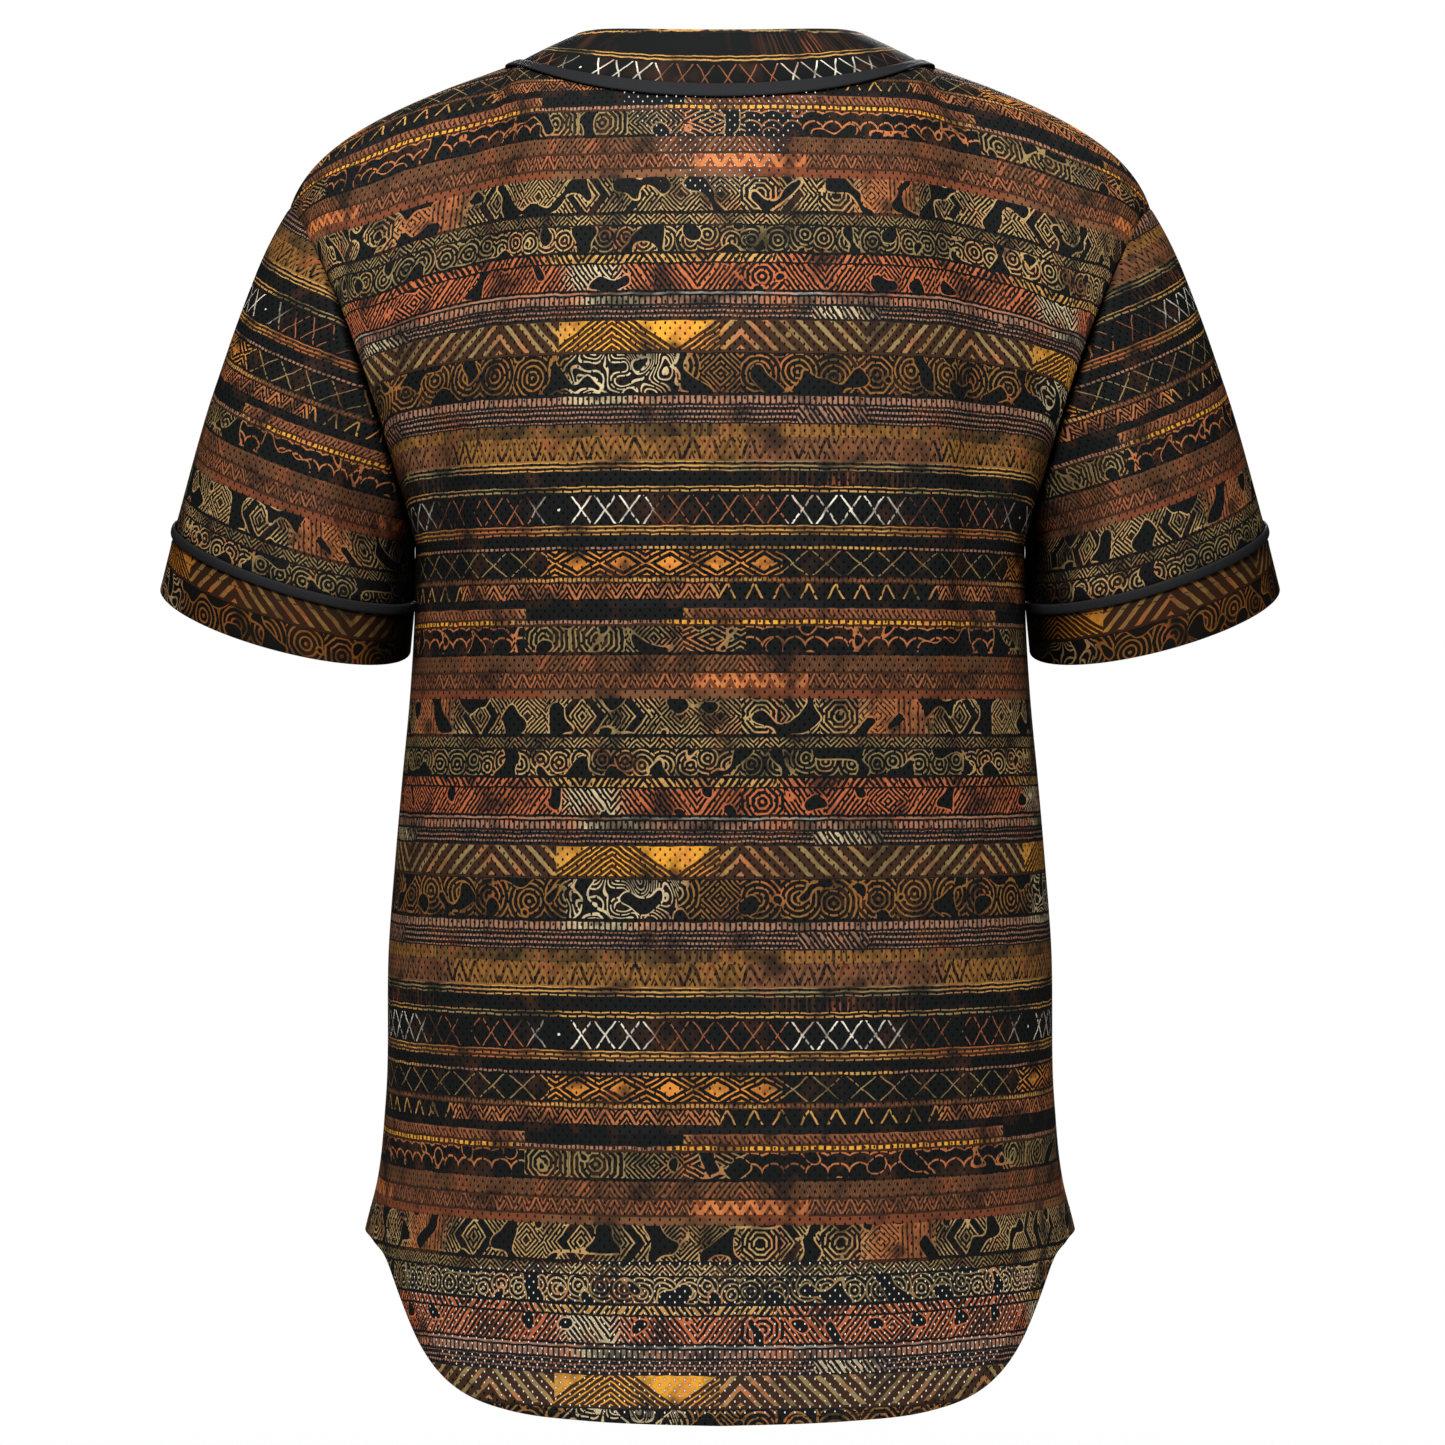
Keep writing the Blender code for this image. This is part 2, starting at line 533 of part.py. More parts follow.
def neck_pieces(band_cloth, piping):
    """The neckband that stands inside the neck seam, and the piping over that seam."""
    lap_turn = math.asin(LAP_HALF / NECK_POINT[0])
    turn = np.linspace(-math.pi - lap_turn, math.pi + lap_turn, NECK_STEPS + 1)
    seam, edge, _, _, normal = neck_frame(turn)
    share = np.linspace(0, 1, BAND_ROWS + 1)[:, None, None]
    start = seam + unit(edge - seam) * BAND_START
    grid = start * (1 - share) + edge * share
    crown = BAND_CROWN * np.sin(share * math.pi)
    grid = grid + normal * crown
    under_side = turn < -math.pi * 3 / 4
    grid = grid - normal * np.where(under_side, lap_sink(grid), 0)[..., None]
    wall("neckband", grid, grid - normal * WALL, band_cloth)

    start_turn = math.asin((LAP_HALF + SEAM_GAP * 4) / NECK_POINT[0]) - math.pi
    ring_turn = np.linspace(start_turn, math.pi + lap_turn, NECK_STEPS + 1)
    seam, _, to_body, to_band, normal = neck_frame(ring_turn)
    rings = piping_ring(seam, to_band, to_body, normal, NECK_PIPING_HALF)
    tube("neck_piping", rings, piping, closed=False)


def front_height_levels(heights):
    """Levels of the front's middle line at these heights."""
    levels = np.linspace(1, -1, 400)
    line = panel_point(np.zeros(len(levels)), levels, -1)[:, 2]
    return np.interp(-np.asarray(heights), -line, levels)


def button_front(band_cloth, button):
    """The strip down the upper front's edge and the buttons along its middle."""
    lap = share_at(LAP_HALF)
    levels = panel_levels()
    levels = np.concatenate([[1 - PLACKET_TOP], levels[1:-1], [-PLACKET_END]])
    grid = panel_point(np.array([-lap, 0.0, lap])[None, :], levels[:, None], -1)
    normals = panel_normals(grid, -1)
    grid[..., 1] -= SEAM_GAP / 2
    base = grid + normals * SEAM_GAP * 1.5
    wall("placket", base + normals * PLACKET_WALL, base, band_cloth)

    levels = front_height_levels(BUTTON_TOP - BUTTON_STEP * np.arange(BUTTON_COUNT))
    for number, level in enumerate(levels, 1):
        near = panel_point(np.zeros(3), level + np.array([-0.01, 0.0, 0.01]), -1)
        slope = unit(near[2] - near[0])
        face = np.array([0.0, -abs(slope[2]), slope[1] * np.sign(slope[2])])
        seat = near[1] + face * (SEAM_GAP * 3 + PLACKET_WALL)
        turned_button(f"button_{number}", seat, face, button)


def turned_button(name, seat, face, material):
    """A dished disc with a rounded rim, whose back lies on the seat."""
    turn = np.linspace(0, 2 * math.pi, BUTTON_SIDES, endpoint=False)[:, None]
    side = np.array([1.0, 0.0, 0.0])
    other = np.cross(face, side)
    rings = [
        seat + face * rise * BUTTON_THICK
        + (side * np.cos(turn) + other * np.sin(turn)) * radius * BUTTON_RADIUS
        for radius, rise in BUTTON_PROFILE
    ]
    tube(name, np.stack(rings), material, closed=False)


def new_material(name):
    colour, roughness = COLOURS[name]
    material = bpy.data.materials.new(name)
    material.use_nodes = True
    shader = material.node_tree.nodes["Principled BSDF"]
    shader.inputs["Base Color"].default_value = colour
    shader.inputs["Roughness"].default_value = roughness
    return material


def clear_scene():
    for obj in list(bpy.data.objects):
        bpy.data.objects.remove(obj)


def main():
    clear_scene()
    materials = {name: new_material(name) for name in COLOURS}
    body_panels(materials["mesh_cloth"])
    for hand, word in ((1.0, "left"), (-1.0, "right")):
        sleeve(hand, word, materials["mesh_cloth"], materials["band_cloth"], materials["piping"])
    neck_pieces(materials["band_cloth"], materials["piping"])
    button_front(materials["band_cloth"], materials["button"])


main()
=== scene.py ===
"""The looks of a short-sleeved, button-front baseball jersey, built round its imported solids.

Metres. +X is the wearer's left, -Y the front, +Z up. The camera stands behind the jersey. Each cloth
piece is a thin shell on the form of its solid, with finer folds, and carries a map in metres of the
flat cloth, so that the print and the mesh's holes keep their size.
"""

import functools
import math
from collections import namedtuple

import bmesh
import bpy
import numpy as np
from mathutils import Matrix


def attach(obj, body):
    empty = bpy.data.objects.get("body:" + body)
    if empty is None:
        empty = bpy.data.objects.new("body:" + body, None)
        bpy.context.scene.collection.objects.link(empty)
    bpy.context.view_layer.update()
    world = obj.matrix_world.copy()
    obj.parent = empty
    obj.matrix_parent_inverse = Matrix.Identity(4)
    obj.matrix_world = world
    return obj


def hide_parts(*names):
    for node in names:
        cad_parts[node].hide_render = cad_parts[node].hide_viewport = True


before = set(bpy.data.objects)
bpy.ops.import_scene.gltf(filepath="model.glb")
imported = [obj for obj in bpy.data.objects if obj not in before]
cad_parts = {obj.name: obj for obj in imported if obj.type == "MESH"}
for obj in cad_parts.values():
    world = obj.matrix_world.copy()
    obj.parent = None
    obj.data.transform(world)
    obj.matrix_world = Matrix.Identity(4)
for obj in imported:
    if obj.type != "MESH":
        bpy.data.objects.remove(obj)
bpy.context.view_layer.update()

# Camera, as far behind the jersey as the photograph's is
CAMERA_PLACE = (-0.0014, 2.3, -0.376)
CAMERA_TURN = (math.radians(90), 0.0, math.radians(180))
LENS, SENSOR = 100, 36

# Lights: name, place, size, power, and the place it points at
SKY_LIGHT, SKY_SEEN = 0.045, 1.0
LIGHTS = (
    ("key", (0.26, 1.75, 1.25), 0.7, 71),
    ("fill", (-1.3, 2.3, 0.5), 1.0, 7),
    ("front", (-0.15, -1.95, 0.95), 0.8, 44),
    ("top", (0.0, 0.3, 2.0), 1.4, 17),
)
LIGHTS_AIM = (0.0, 0.0, -0.38)
FLOOR_Z, FLOOR_RADIUS, FLOOR_FADE = -1.10, 1.9, 0.35  # the floor fades out from that share of its radius

# Form of the solids
SEAM_GAP = 0.0003
LAP_SINK = 0.0026
LAP_STEP_START, LAP_STEP_WIDTH = 0.012, 0.009
NECK_POINT = np.array([0.1185, 0.0, 0.001])
SHOULDER_POINT = np.array([0.2465, 0.0, -0.081])
SHOULDER_INNER_PULL = np.array([0.060, 0.0, -0.0235])
SHOULDER_OUTER_PULL = np.array([-0.0150, 0.0, 0.0405])
BACK_NECK_DROP, BACK_NECK_DEPTH = 0.028, 0.085
FRONT_NECK_DROP, FRONT_NECK_DEPTH = 0.105, 0.098
NECK_DIP_POWER, NECK_V_POWER = 0.8, 1.12
LAP_HALF = 0.016
LAP_TURN = math.asin(LAP_HALF / NECK_POINT[0])
NECK_SHARE = 0.5
ARMPIT = np.array([0.1735, 0.0, -0.268])
ARMPIT_ROW_DIP = 0.038
BODY_COLUMNS = ("z", "half_width", "back", "front")
BODY_SECTIONS = (
    (-0.200, 0.1735, 0.135, 0.137),
    (-0.268, 0.1735, 0.135, 0.141),
    (-0.320, 0.1742, 0.134, 0.142),
    (-0.363, 0.1768, 0.131, 0.141),
    (-0.409, 0.1811, 0.128, 0.139),
    (-0.455, 0.1851, 0.126, 0.138),
    (-0.500, 0.1885, 0.126, 0.138),
    (-0.592, 0.1905, 0.130, 0.140),
    (-0.638, 0.1954, 0.133, 0.141),
    (-0.667, 0.2026, 0.135, 0.142),
    (-0.755, 0.2080, 0.142, 0.143),
)
SECTION_POWER = 0.87
HEM_COLUMNS = ("share", "z")
BACK_HEM = (
    (0.00, -0.7540), (0.19, -0.7520), (0.34, -0.7486), (0.46, -0.7402), (0.545, -0.7259),
    (0.63, -0.6952), (0.70, -0.6760), (0.80, -0.6672), (1.00, -0.6650),
)
FRONT_HEM = (
    (0.00, -0.7030), (0.40, -0.7025), (0.60, -0.7000), (0.75, -0.6930), (0.88, -0.6750),
    (1.00, -0.6650),
)
RISE_COLUMNS = ("share", "low_x", "low_depth", "low_z", "top_x", "top_depth", "top_z")
BACK_RISE = (
    (0.00, 0.000, 0.012, 0.105, 0.000, 0.040, -0.052),
    (0.25, 0.000, 0.012, 0.105, 0.002, 0.044, -0.045),
    (0.50, 0.004, 0.014, 0.105, 0.004, 0.064, -0.010),
    (0.75, 0.014, 0.026, 0.095, -0.004, 0.070, -0.006),
    (0.90, 0.010, 0.050, 0.065, -0.012, 0.072, -0.008),
    (1.00, 0.004, 0.072, 0.030, -0.020, 0.072, -0.014),
)
FRONT_RISE = (
    (0.00, 0.000, 0.004, 0.080, 0.000, 0.014, -0.060),
    (0.25, 0.000, 0.004, 0.080, 0.002, 0.022, -0.050),
    (0.50, 0.004, 0.006, 0.090, 0.004, 0.060, -0.012),
    (0.75, 0.010, 0.014, 0.085, -0.008, 0.066, -0.008),
    (0.90, 0.004, 0.038, 0.060, -0.018, 0.066, -0.010),
    (1.00, -0.002, 0.064, 0.028, -0.030, 0.066, -0.018),
)

# Folds: the solids' large ones, then the finer creases that only the shells have. side is 1 on the
# back, x and z are a fold's middle, lean is its angle from upright and a trough's height is negative.
SIDE_FADE, TOP_FADE = 0.12, 0.15
FOLD_COLUMNS = ("side", "x", "z", "lean", "half_length", "half_width", "height")
FOLDS = (
    (1, -0.120, -0.255, 2, 0.120, 0.012, 0.0024),
    (1, -0.141, -0.270, 5, 0.130, 0.012, -0.0032),
    (1, 0.130, -0.250, -3, 0.100, 0.014, 0.0018),
    (1, 0.150, -0.280, -7, 0.110, 0.012, -0.0026),
    (1, 0.168, -0.205, -24, 0.050, 0.010, -0.0022),
    (1, -0.170, -0.200, 26, 0.045, 0.010, -0.0020),
    (1, 0.062, -0.655, 4, 0.110, 0.026, 0.0030),
    (1, 0.112, -0.640, 8, 0.095, 0.020, -0.0026),
    (1, -0.012, -0.680, -3, 0.085, 0.026, -0.0024),
    (1, -0.078, -0.650, -5, 0.115, 0.027, 0.0032),
    (1, -0.124, -0.630, -8, 0.090, 0.018, -0.0024),
    (-1, 0.118, -0.265, -5, 0.110, 0.014, 0.0022),
    (-1, 0.142, -0.255, -10, 0.120, 0.012, -0.0030),
    (-1, -0.124, -0.270, 6, 0.115, 0.014, 0.0024),
    (-1, -0.146, -0.250, 9, 0.110, 0.012, -0.0028),
    (-1, 0.075, -0.590, 5, 0.120, 0.024, 0.0028),
    (-1, 0.122, -0.600, 7, 0.100, 0.020, -0.0024),
    (-1, -0.070, -0.600, -5, 0.125, 0.025, 0.0030),
    (-1, -0.118, -0.590, -8, 0.095, 0.019, -0.0026),
)
CREASES = (
    (1, 0.030, -0.150, -38, 0.050, 0.010, -0.0008),
    (1, -0.046, -0.132, 44, 0.042, 0.009, -0.0008),
    (1, 0.104, -0.330, -12, 0.070, 0.009, -0.0012),
    (1, -0.098, -0.352, 9, 0.082, 0.010, -0.0012),
    (1, 0.140, -0.395, 34, 0.048, 0.008, -0.0014),
    (1, -0.150, -0.410, -31, 0.052, 0.008, -0.0013),
    (1, 0.156, -0.470, 24, 0.060, 0.010, 0.0012),
    (1, -0.160, -0.500, -20, 0.058, 0.010, 0.0013),
    (1, 0.020, -0.560, 7, 0.090, 0.014, -0.0011),
    (1, -0.048, -0.520, -6, 0.080, 0.013, 0.0009),
    (1, 0.088, -0.575, 12, 0.062, 0.011, -0.0012),
    (1, 0.150, -0.610, 14, 0.055, 0.010, -0.0014),
    (1, -0.158, -0.600, -15, 0.060, 0.010, -0.0013),
    (-1, 0.052, -0.180, 32, 0.052, 0.010, -0.0010),
    (-1, -0.060, -0.190, -36, 0.047, 0.009, -0.0010),
    (-1, 0.096, -0.350, -14, 0.080, 0.010, -0.0013),
    (-1, -0.104, -0.372, 12, 0.070, 0.010, -0.0012),
    (-1, 0.150, -0.420, 30, 0.050, 0.009, -0.0014),
    (-1, -0.146, -0.440, -28, 0.055, 0.009, -0.0014),
    (-1, 0.040, -0.520, 10, 0.075, 0.012, -0.0011),
    (-1, -0.036, -0.560, -8, 0.070, 0.012, -0.0010),
    (-1, 0.160, -0.560, 16, 0.060, 0.010, 0.0012),
    (-1, -0.158, -0.540, -18, 0.055, 0.010, 0.0012),
)
SLEEVE_FADE = 1 / 6
SLEEVE_FOLD_COLUMNS = ("turn", "along", "half_turn", "half_along", "height")
SLEEVE_FOLDS = (
    (58, 0.50, 13, 0.28, -0.0030),
    (86, 0.58, 13, 0.26, 0.0024),
    (116, 0.50, 15, 0.24, -0.0018),
    (150, 0.62, 16, 0.22, 0.0012),
    (302, 0.50, 13, 0.28, -0.0028),
    (272, 0.60, 14, 0.26, 0.0022),
    (236, 0.48, 15, 0.24, -0.0016),
)
SLEEVE_CREASES = (
    (40, 0.42, 7, 0.20, -0.0014),
    (72, 0.72, 7, 0.16, -0.0010),
    (101, 0.36, 8, 0.18, 0.0010),
    (133, 0.74, 9, 0.16, -0.0009),
    (176, 0.40, 9, 0.18, -0.0008),
    (318, 0.44, 7, 0.20, -0.0013),
    (287, 0.72, 8, 0.17, -0.0010),
    (255, 0.38, 8, 0.18, 0.0009),
    (216, 0.70, 9, 0.16, -0.0009),
)
CUFF_JOIN = np.array([(0.2462, -0.026, -0.2845), (0.0693, 0.004, 0.0195), (-0.010, 0.074, -0.0188)])
SLEEVE_END = np.array([(0.2520, -0.028, -0.3160), (0.0720, 0.005, 0.0165), (-0.012, 0.077, -0.0215)])
SLEEVE_TOP_PULL, SLEEVE_SIDE_PULL = np.array([0.030, 0.0, -0.046]), np.array([0.030, -0.004, -0.040])
SLEEVE_UNDER_PULL = np.array([0.004, 0.0, -0.018])
SLEEVE_END_PULL = (0.055, 0.016)
BAND_SIDE, BAND_BACK = np.array([0.082, 0.0, 0.0165]), np.array([0.0, 0.079, 0.0073])
BAND_FRONT = np.array([0.0, -0.088, -0.061])
BAND_V_POWER, BAND_FRONT_WIDER = 0.85, 3
BAND_CROWN = 0.0008
SIDE_TURN, SIDE_SLOPE = 0.22, -0.35
NECK_PIPING_HALF, SLEEVE_PIPING_HALF, PIPING_RISE = 0.0046, 0.0030, 0.0016
PIPING_EDGE, PIPING_ROUND = 0.15, 0.7  # the share of its rise at its edges, and its top's roundness
PLACKET_WALL = 0.0010
PLACKET_TOP, PLACKET_END = 0.036, 0.995
BUTTON_COUNT, BUTTON_TOP, BUTTON_STEP = 6, -0.132, 0.098
BUTTON_RADIUS, BUTTON_THICK = 0.0060, 0.0026

# Grids of the shells
PANEL_COLUMNS, PANEL_RISE_ROWS, PANEL_DROP_ROWS = 230, 124, 140
SLEEVE_COLUMNS, SLEEVE_ROWS, CUFF_ROWS = 100, 84, 14
EDGE_POWER = 1.3  # how much closer together a grid's lines lie beside a seam
BAND_COLUMNS, BAND_ROWS = 420, 14
PIPING_STEPS, PIPING_SIDES = 420, 12
PLACKET_ROWS, PLACKET_COLUMNS = 300, 14

# What a piece is called after its node, by its slot
PIECE_WORDS = {"mesh_cloth": "cloth", "band_cloth": "cloth", "piping": "tape", "button": "resin"}

# Buttons: their profile from the middle of the back to the middle of the face, as shares of their
# radius and thickness, their four holes and the buttonholes
BUTTON_PROFILE = (
    (0.70, 0.00), (0.88, 0.08), (0.97, 0.28), (1.00, 0.52), (0.98, 0.76), (0.92, 0.93), (0.84, 1.00),
    (0.76, 0.98), (0.70, 0.88), (0.64, 0.80), (0.50, 0.76),
)
BUTTON_STEPS, BUTTON_FACE = 48, BUTTON_THICK * 0.76
BUTTON_HOLE, BUTTON_HOLE_AT = 0.00065, 0.00125
BUTTONHOLE_HALF, BUTTONHOLE_RIM, BUTTONHOLE_STITCHES = 0.0085, 0.0011, 46

# Stitches: rings along one as its place and its size, then the spacing and the size in metres
STITCH_RINGS = ((-1.0, 0.25), (-0.72, 0.85), (0.0, 1.0), (0.72, 0.85), (1.0, 0.25))
STITCH_SIDES, STITCH_PITCH, STITCH_LENGTH = 6, 0.0031, 0.0024
STITCH_HALF_WIDTH, STITCH_RISE, STITCH_LIFT, STITCH_INSET = 0.00030, 0.00020, 0.00006, 0.0016

# Seams and hems
SEAM_PUFF, SEAM_PUFF_AT, SEAM_GROOVE, SEAM_GROOVE_AT = 0.0007, 0.0050, 0.0006, 0.0013
ARMHOLE_PUFF, ARMHOLE_PUFF_AT = 0.0024, 0.0085
# The armhole's groove, each number at the shoulder and then in the armhole's lower part
ARMHOLE_GROOVE, ARMHOLE_GROOVE_AT = (0.0004, 0.0080), (0.0016, 0.0034)
ARMHOLE_MIDDLE = np.array([0.185, 0.0, -0.175])
# The armhole's lower part by level: how fast it sets in, where it ends and how fast
LOW_PART_RISE, LOW_PART_END, LOW_PART_FALL = 6, 0.75, 3
ARMPIT_TO_HOLE = 12  # how fast the side seam gives way to the armhole above the armpit
SHOULDER_SEAM_FADES = (0.1, 0.03)  # over these shares at the neck and at the armhole
# Smoothing below the neck point: how far it blurs, how far to its sides it is felt and over which
# level it comes in
EASE_SHARE, EASE_REACH, EASE_LEVEL = 0.075, 0.30, 0.28
CLOTH_HALF = 0.00045
HEM_TURN_ROWS, HEM_INSIDE_ROWS = 5, 5
HEM_CORNER, HEM_MIDDLE = 0.014, 0.005
HEM_CORNER_FROM, HEM_CORNER_OVER = 0.25, 0.5  # from which share of the panel, and over how much
CUFF_INSIDE = 0.022
BAND_INSIDE = 0.92

# The print repeats in both directions. u runs to the wearer's right on the back.
TILE = 0.2810
TILE_LEFT = 0.5  # the share of a tile that lies left of the back's middle
TILE_START_Z, TILE_STRETCH = -0.3140, 1.013  # a tile's start on the middle line, and its stretch there
# How far the bands droop over a panel's share towards the shoulder, and how much of it by height
DROOP_COLUMNS = ("share", "droop")
DROOP = (
    (0.00, 0.0), (0.40, 0.0), (0.50, 0.0006), (0.57, 0.0035), (0.67, 0.0090), (0.78, 0.0155),
    (0.85, 0.0150), (0.92, 0.0100), (1.00, 0.0),
)
DROOP_HEIGHT_COLUMNS = ("z", "part")
DROOP_HEIGHT = (
    (-0.260, 0.0), (-0.230, 0.02), (-0.200, 0.15), (-0.170, 0.45), (-0.150, 0.75), (-0.120, 0.88),
    (-0.090, 1.0), (0.010, 1.0),
)
SLEEVE_PRINT_END, CUFF_PRINT_START, NECK_PRINT_END = 0.0905, 0.1265, 0.2367
NECK_STRETCH_AT, NECK_STRETCH = 0.0222, 0.5  # above this height the print on the neckband is stretched
# Painted shade: the cuffs' print is multiplied by this, darker and warmer than the body's
CUFF_PAINTED_SHADE = (0.62, 0.50, 0.38)
MESH_PITCH, MESH_ROW = 0.0054, 0.0029
HOLE_HALF_WIDTH, HOLE_HALF_HEIGHT = 0.00055, 0.00090
HOLE_OPEN, HOLE_CLEAR = 0.66, 0.85  # a hole's share inside its rim of painted shade, and how clear it is
KNIT_PITCH, KNIT_ROW, KNIT_HEIGHT = 0.0010, 0.0012, 0.25  # height is a share of a hole's depth

WHITE = (1.0, 1.0, 1.0)
BLACK, COAL = (0.0082, 0.0086, 0.0088), (0.0125, 0.0122, 0.0125)
UMBER, RUST, BROWN = (0.044, 0.021, 0.012), (0.168, 0.050, 0.022), (0.168, 0.072, 0.032)
PINK, OCHRE, OLIVE = (0.330, 0.165, 0.100), (0.540, 0.290, 0.075), (0.270, 0.190, 0.075)
GOLD, ORANGE, EMBER = (0.760, 0.340, 0.034), (0.600, 0.200, 0.055), (0.480, 0.128, 0.046)
FLAME, TAN, DUN = (0.690, 0.250, 0.040), (0.460, 0.300, 0.120), (0.115, 0.066, 0.022)
CREAM, BONE, GREY = (0.800, 0.740, 0.600), (0.560, 0.450, 0.260), (0.290, 0.270, 0.215)
RUST_ORANGE, RUST_BROWN, OCHRE_BROWN = (0.420, 0.145, 0.050), (0.270, 0.095, 0.042), (0.245, 0.112, 0.028)

# A printed style: its form, how often that repeats in a tile, the distance between its lines in
# millimetres, the inked share of that distance, the ground and the ink, how far its middle is filled
# in millimetres (or left bare, where negative), the length of dashes in millimetres (0 for none), the
# share of its repeats that show nested squares and diamonds instead, and whether repeats turn about.
STYLE_COLUMNS = ("form", "count", "pitch", "share", "ground", "ink", "fill", "dash", "variety", "turns")
Style = namedtuple("Style", STYLE_COLUMNS, defaults=(0, 0, 0, 0))
PLAIN = ("rows", 20, 3.0, 0)
LINES = ("rows", 20, 2.3, 0.40)
LINE = ("middle", 20, 30, 0)
# A band: its height in pixels of the photograph, the middle and the half width of the stretch that
# has its second style, how much of it black blots cover (0 to 1), its two styles and how often that
# stretch repeats in a tile.
Band = namedtuple(
    "Band", ("height", "middle", "half", "blots", "first", "second", "repeats"), defaults=(1,)
)
BANDS = (
    Band(9, 0.77, 0.34, 0, Style(*PLAIN, BLACK, OCHRE), Style("slant", 90, 2.8, 0.55, UMBER, RUST_BROWN)),
    Band(7, 0.74, 0.35, 0, Style(*LINE, UMBER, PINK, 1.2, 2.6), Style(*LINE, UMBER, GOLD, 1.4, 4.1)),
    Band(27, 0.83, 0.28, 0.34, Style("diamonds", 9, 2.9, 0.34, BLACK, OLIVE, variety=0.35),
         Style("arches", 24, 5.9, 0.17, BLACK, RUST_ORANGE, -2)),
    Band(19, 0.38, 0.24, 0, Style("zigzag", 62, 3.1, 0.42, UMBER, BROWN),
         Style("slant", 12, 2.9, 0.45, UMBER, BROWN, turns=1)),
    Band(16, 0.56, 0.11, 0, Style("zigzag", 31, 4, 0.28, UMBER, RUST_BROWN),
         Style("zigzag", 26, 6.4, 0.42, RUST, ORANGE)),
    Band(8, 0.35, 0.2, 0, Style(*PLAIN, RUST, BROWN), Style(*PLAIN, BROWN, RUST)),
    Band(40, 0.85, 0.08, 0.39, Style("arrows", 13, 2.7, 0.36, BLACK, TAN, -2.6, 0, 0.62, 1),
         Style("bars", 13, 3.1, 0.62, UMBER, RUST_ORANGE, variety=0.3)),
    Band(12, 0.4, 0.22, 0, Style("peaks", 20, 2.7, 0.38, BLACK, OLIVE),
         Style("peaks", 20, 2.7, 0.38, BLACK, TAN)),
    Band(28, 0.28, 0.27, 0.38, Style("circles", 21, 2.6, 0.33, BLACK, OLIVE),
         Style("circles", 24, 2.6, 0.34, BLACK, TAN)),
    Band(11, 0.38, 0.23, 0, Style("slant", 16, 3.4, 0.38, BLACK, EMBER, turns=1),
         Style("slant", 16, 3.4, 0.38, BLACK, OCHRE, turns=1)),
    Band(27, 0.25, 0.06, 0.28, Style("slant", 12, 2.9, 0.4, BLACK, EMBER, variety=0.32, turns=1),
         Style("slant", 12, 2.9, 0.38, BLACK, BONE, variety=0.32, turns=1)),
    Band(5, 0.5, 0.2, 0, Style(*LINE, BLACK, PINK, 0.7), Style(*LINE, BLACK, GREY, 0.7)),
    Band(10, 0.28, 0.06, 0, Style(*LINE, COAL, PINK, 2, 3.1), Style(*LINE, COAL, BONE, 2, 3.1)),
    Band(15, 0.75, 0.07, 0, Style("rows", 20, 2.7, 0.36, COAL, PINK, 0, 2.3),
         Style("slant", 30, 2.9, 0.36, COAL, BONE)),
    Band(33, 0.34, 0.16, 0, Style("peaks", 2, 9.4, 0.36, UMBER, OLIVE),
         Style("funnels", 4, 3.1, 0.3, UMBER, GOLD, 16.4)),
    Band(41, 0.31, 0.11, 0.38, Style("circles", 13, 3.1, 0.34, BLACK, OCHRE_BROWN, variety=0.25),
         Style("curls", 30, 2.6, 0.32, BLACK, BONE)),
    Band(11, 0.28, 0.07, 0, Style(*LINE, COAL, PINK, 2, 3.1), Style(*LINE, COAL, BONE, 2, 3.1)),
    Band(19, 0.72, 0.07, 0, Style("rows", 20, 2.9, 0.4, COAL, PINK, 0, 2.3),
         Style("slant", 30, 2.9, 0.36, COAL, PINK)),
    Band(12, 0.7, 0.2, 0, Style("bars", 25, 3.75, 0.4, DUN, UMBER),
         Style("bars", 25, 3.75, 0.3, OCHRE_BROWN, UMBER)),
    Band(25, 0.75, 0.2, 0, Style("zigzag", 27, 7.5, 0.32, OCHRE_BROWN, BLACK),
         Style("zigzag", 27, 7.5, 0.32, BROWN, BLACK)),
    Band(9, 0.25, 0.25, 0, Style(*LINES, COAL, OLIVE), Style(*LINES, COAL, OCHRE)),
    Band(15, 0.75, 0.15, 0, Style(*PLAIN, BLACK, BLACK), Style("bars", 25, 2.8, 0.35, BLACK, UMBER)),
    Band(7, 0.5, 0.35, 0, Style(*LINES, BLACK, OLIVE), Style(*LINES, BLACK, OCHRE)),
    Band(32, 0.49, 0.23, 0, Style("crosses", 21, 30, 0.017, BLACK, RUST_BROWN, variety=0.15),
         Style("crosses", 21, 30, 0.024, BLACK, CREAM, variety=0.15), 2),
    Band(9, 0.5, 0.35, 0, Style(*LINES, UMBER, OCHRE_BROWN), Style(*LINES, UMBER, OCHRE)),
    Band(10, 0.5, 0.2, 0, Style(*PLAIN, BLACK, BLACK), Style(*PLAIN, COAL, BLACK)),
    Band(5, 0.6, 0.25, 0, Style(*LINE, BLACK, PINK, 0.6, 3.2), Style(*LINE, BLACK, OCHRE, 0.7, 3.2)),
    Band(27, 0.39, 0.23, 0, Style("crosses", 15, 30, 0.013, BLACK, OLIVE, variety=0.15),
         Style("diamonds", 11, 3.1, 0.32, BLACK, FLAME, 3.6)),
    Band(6, 0.35, 0.25, 0, Style(*LINE, UMBER, BROWN, 0.9, 2.6), Style(*LINE, UMBER, OCHRE, 0.9, 2.6)),
    Band(16, 0.72, 0.22, 0, Style("zigzag", 25, 3.6, 0.36, BLACK, RUST_ORANGE),
         Style("spikes", 19, 30, 0.036, BLACK, OCHRE)),
    Band(9, 0.5, 0.2, 0, Style(*PLAIN, BLACK, BLACK), Style(*PLAIN, COAL, BLACK)),
)
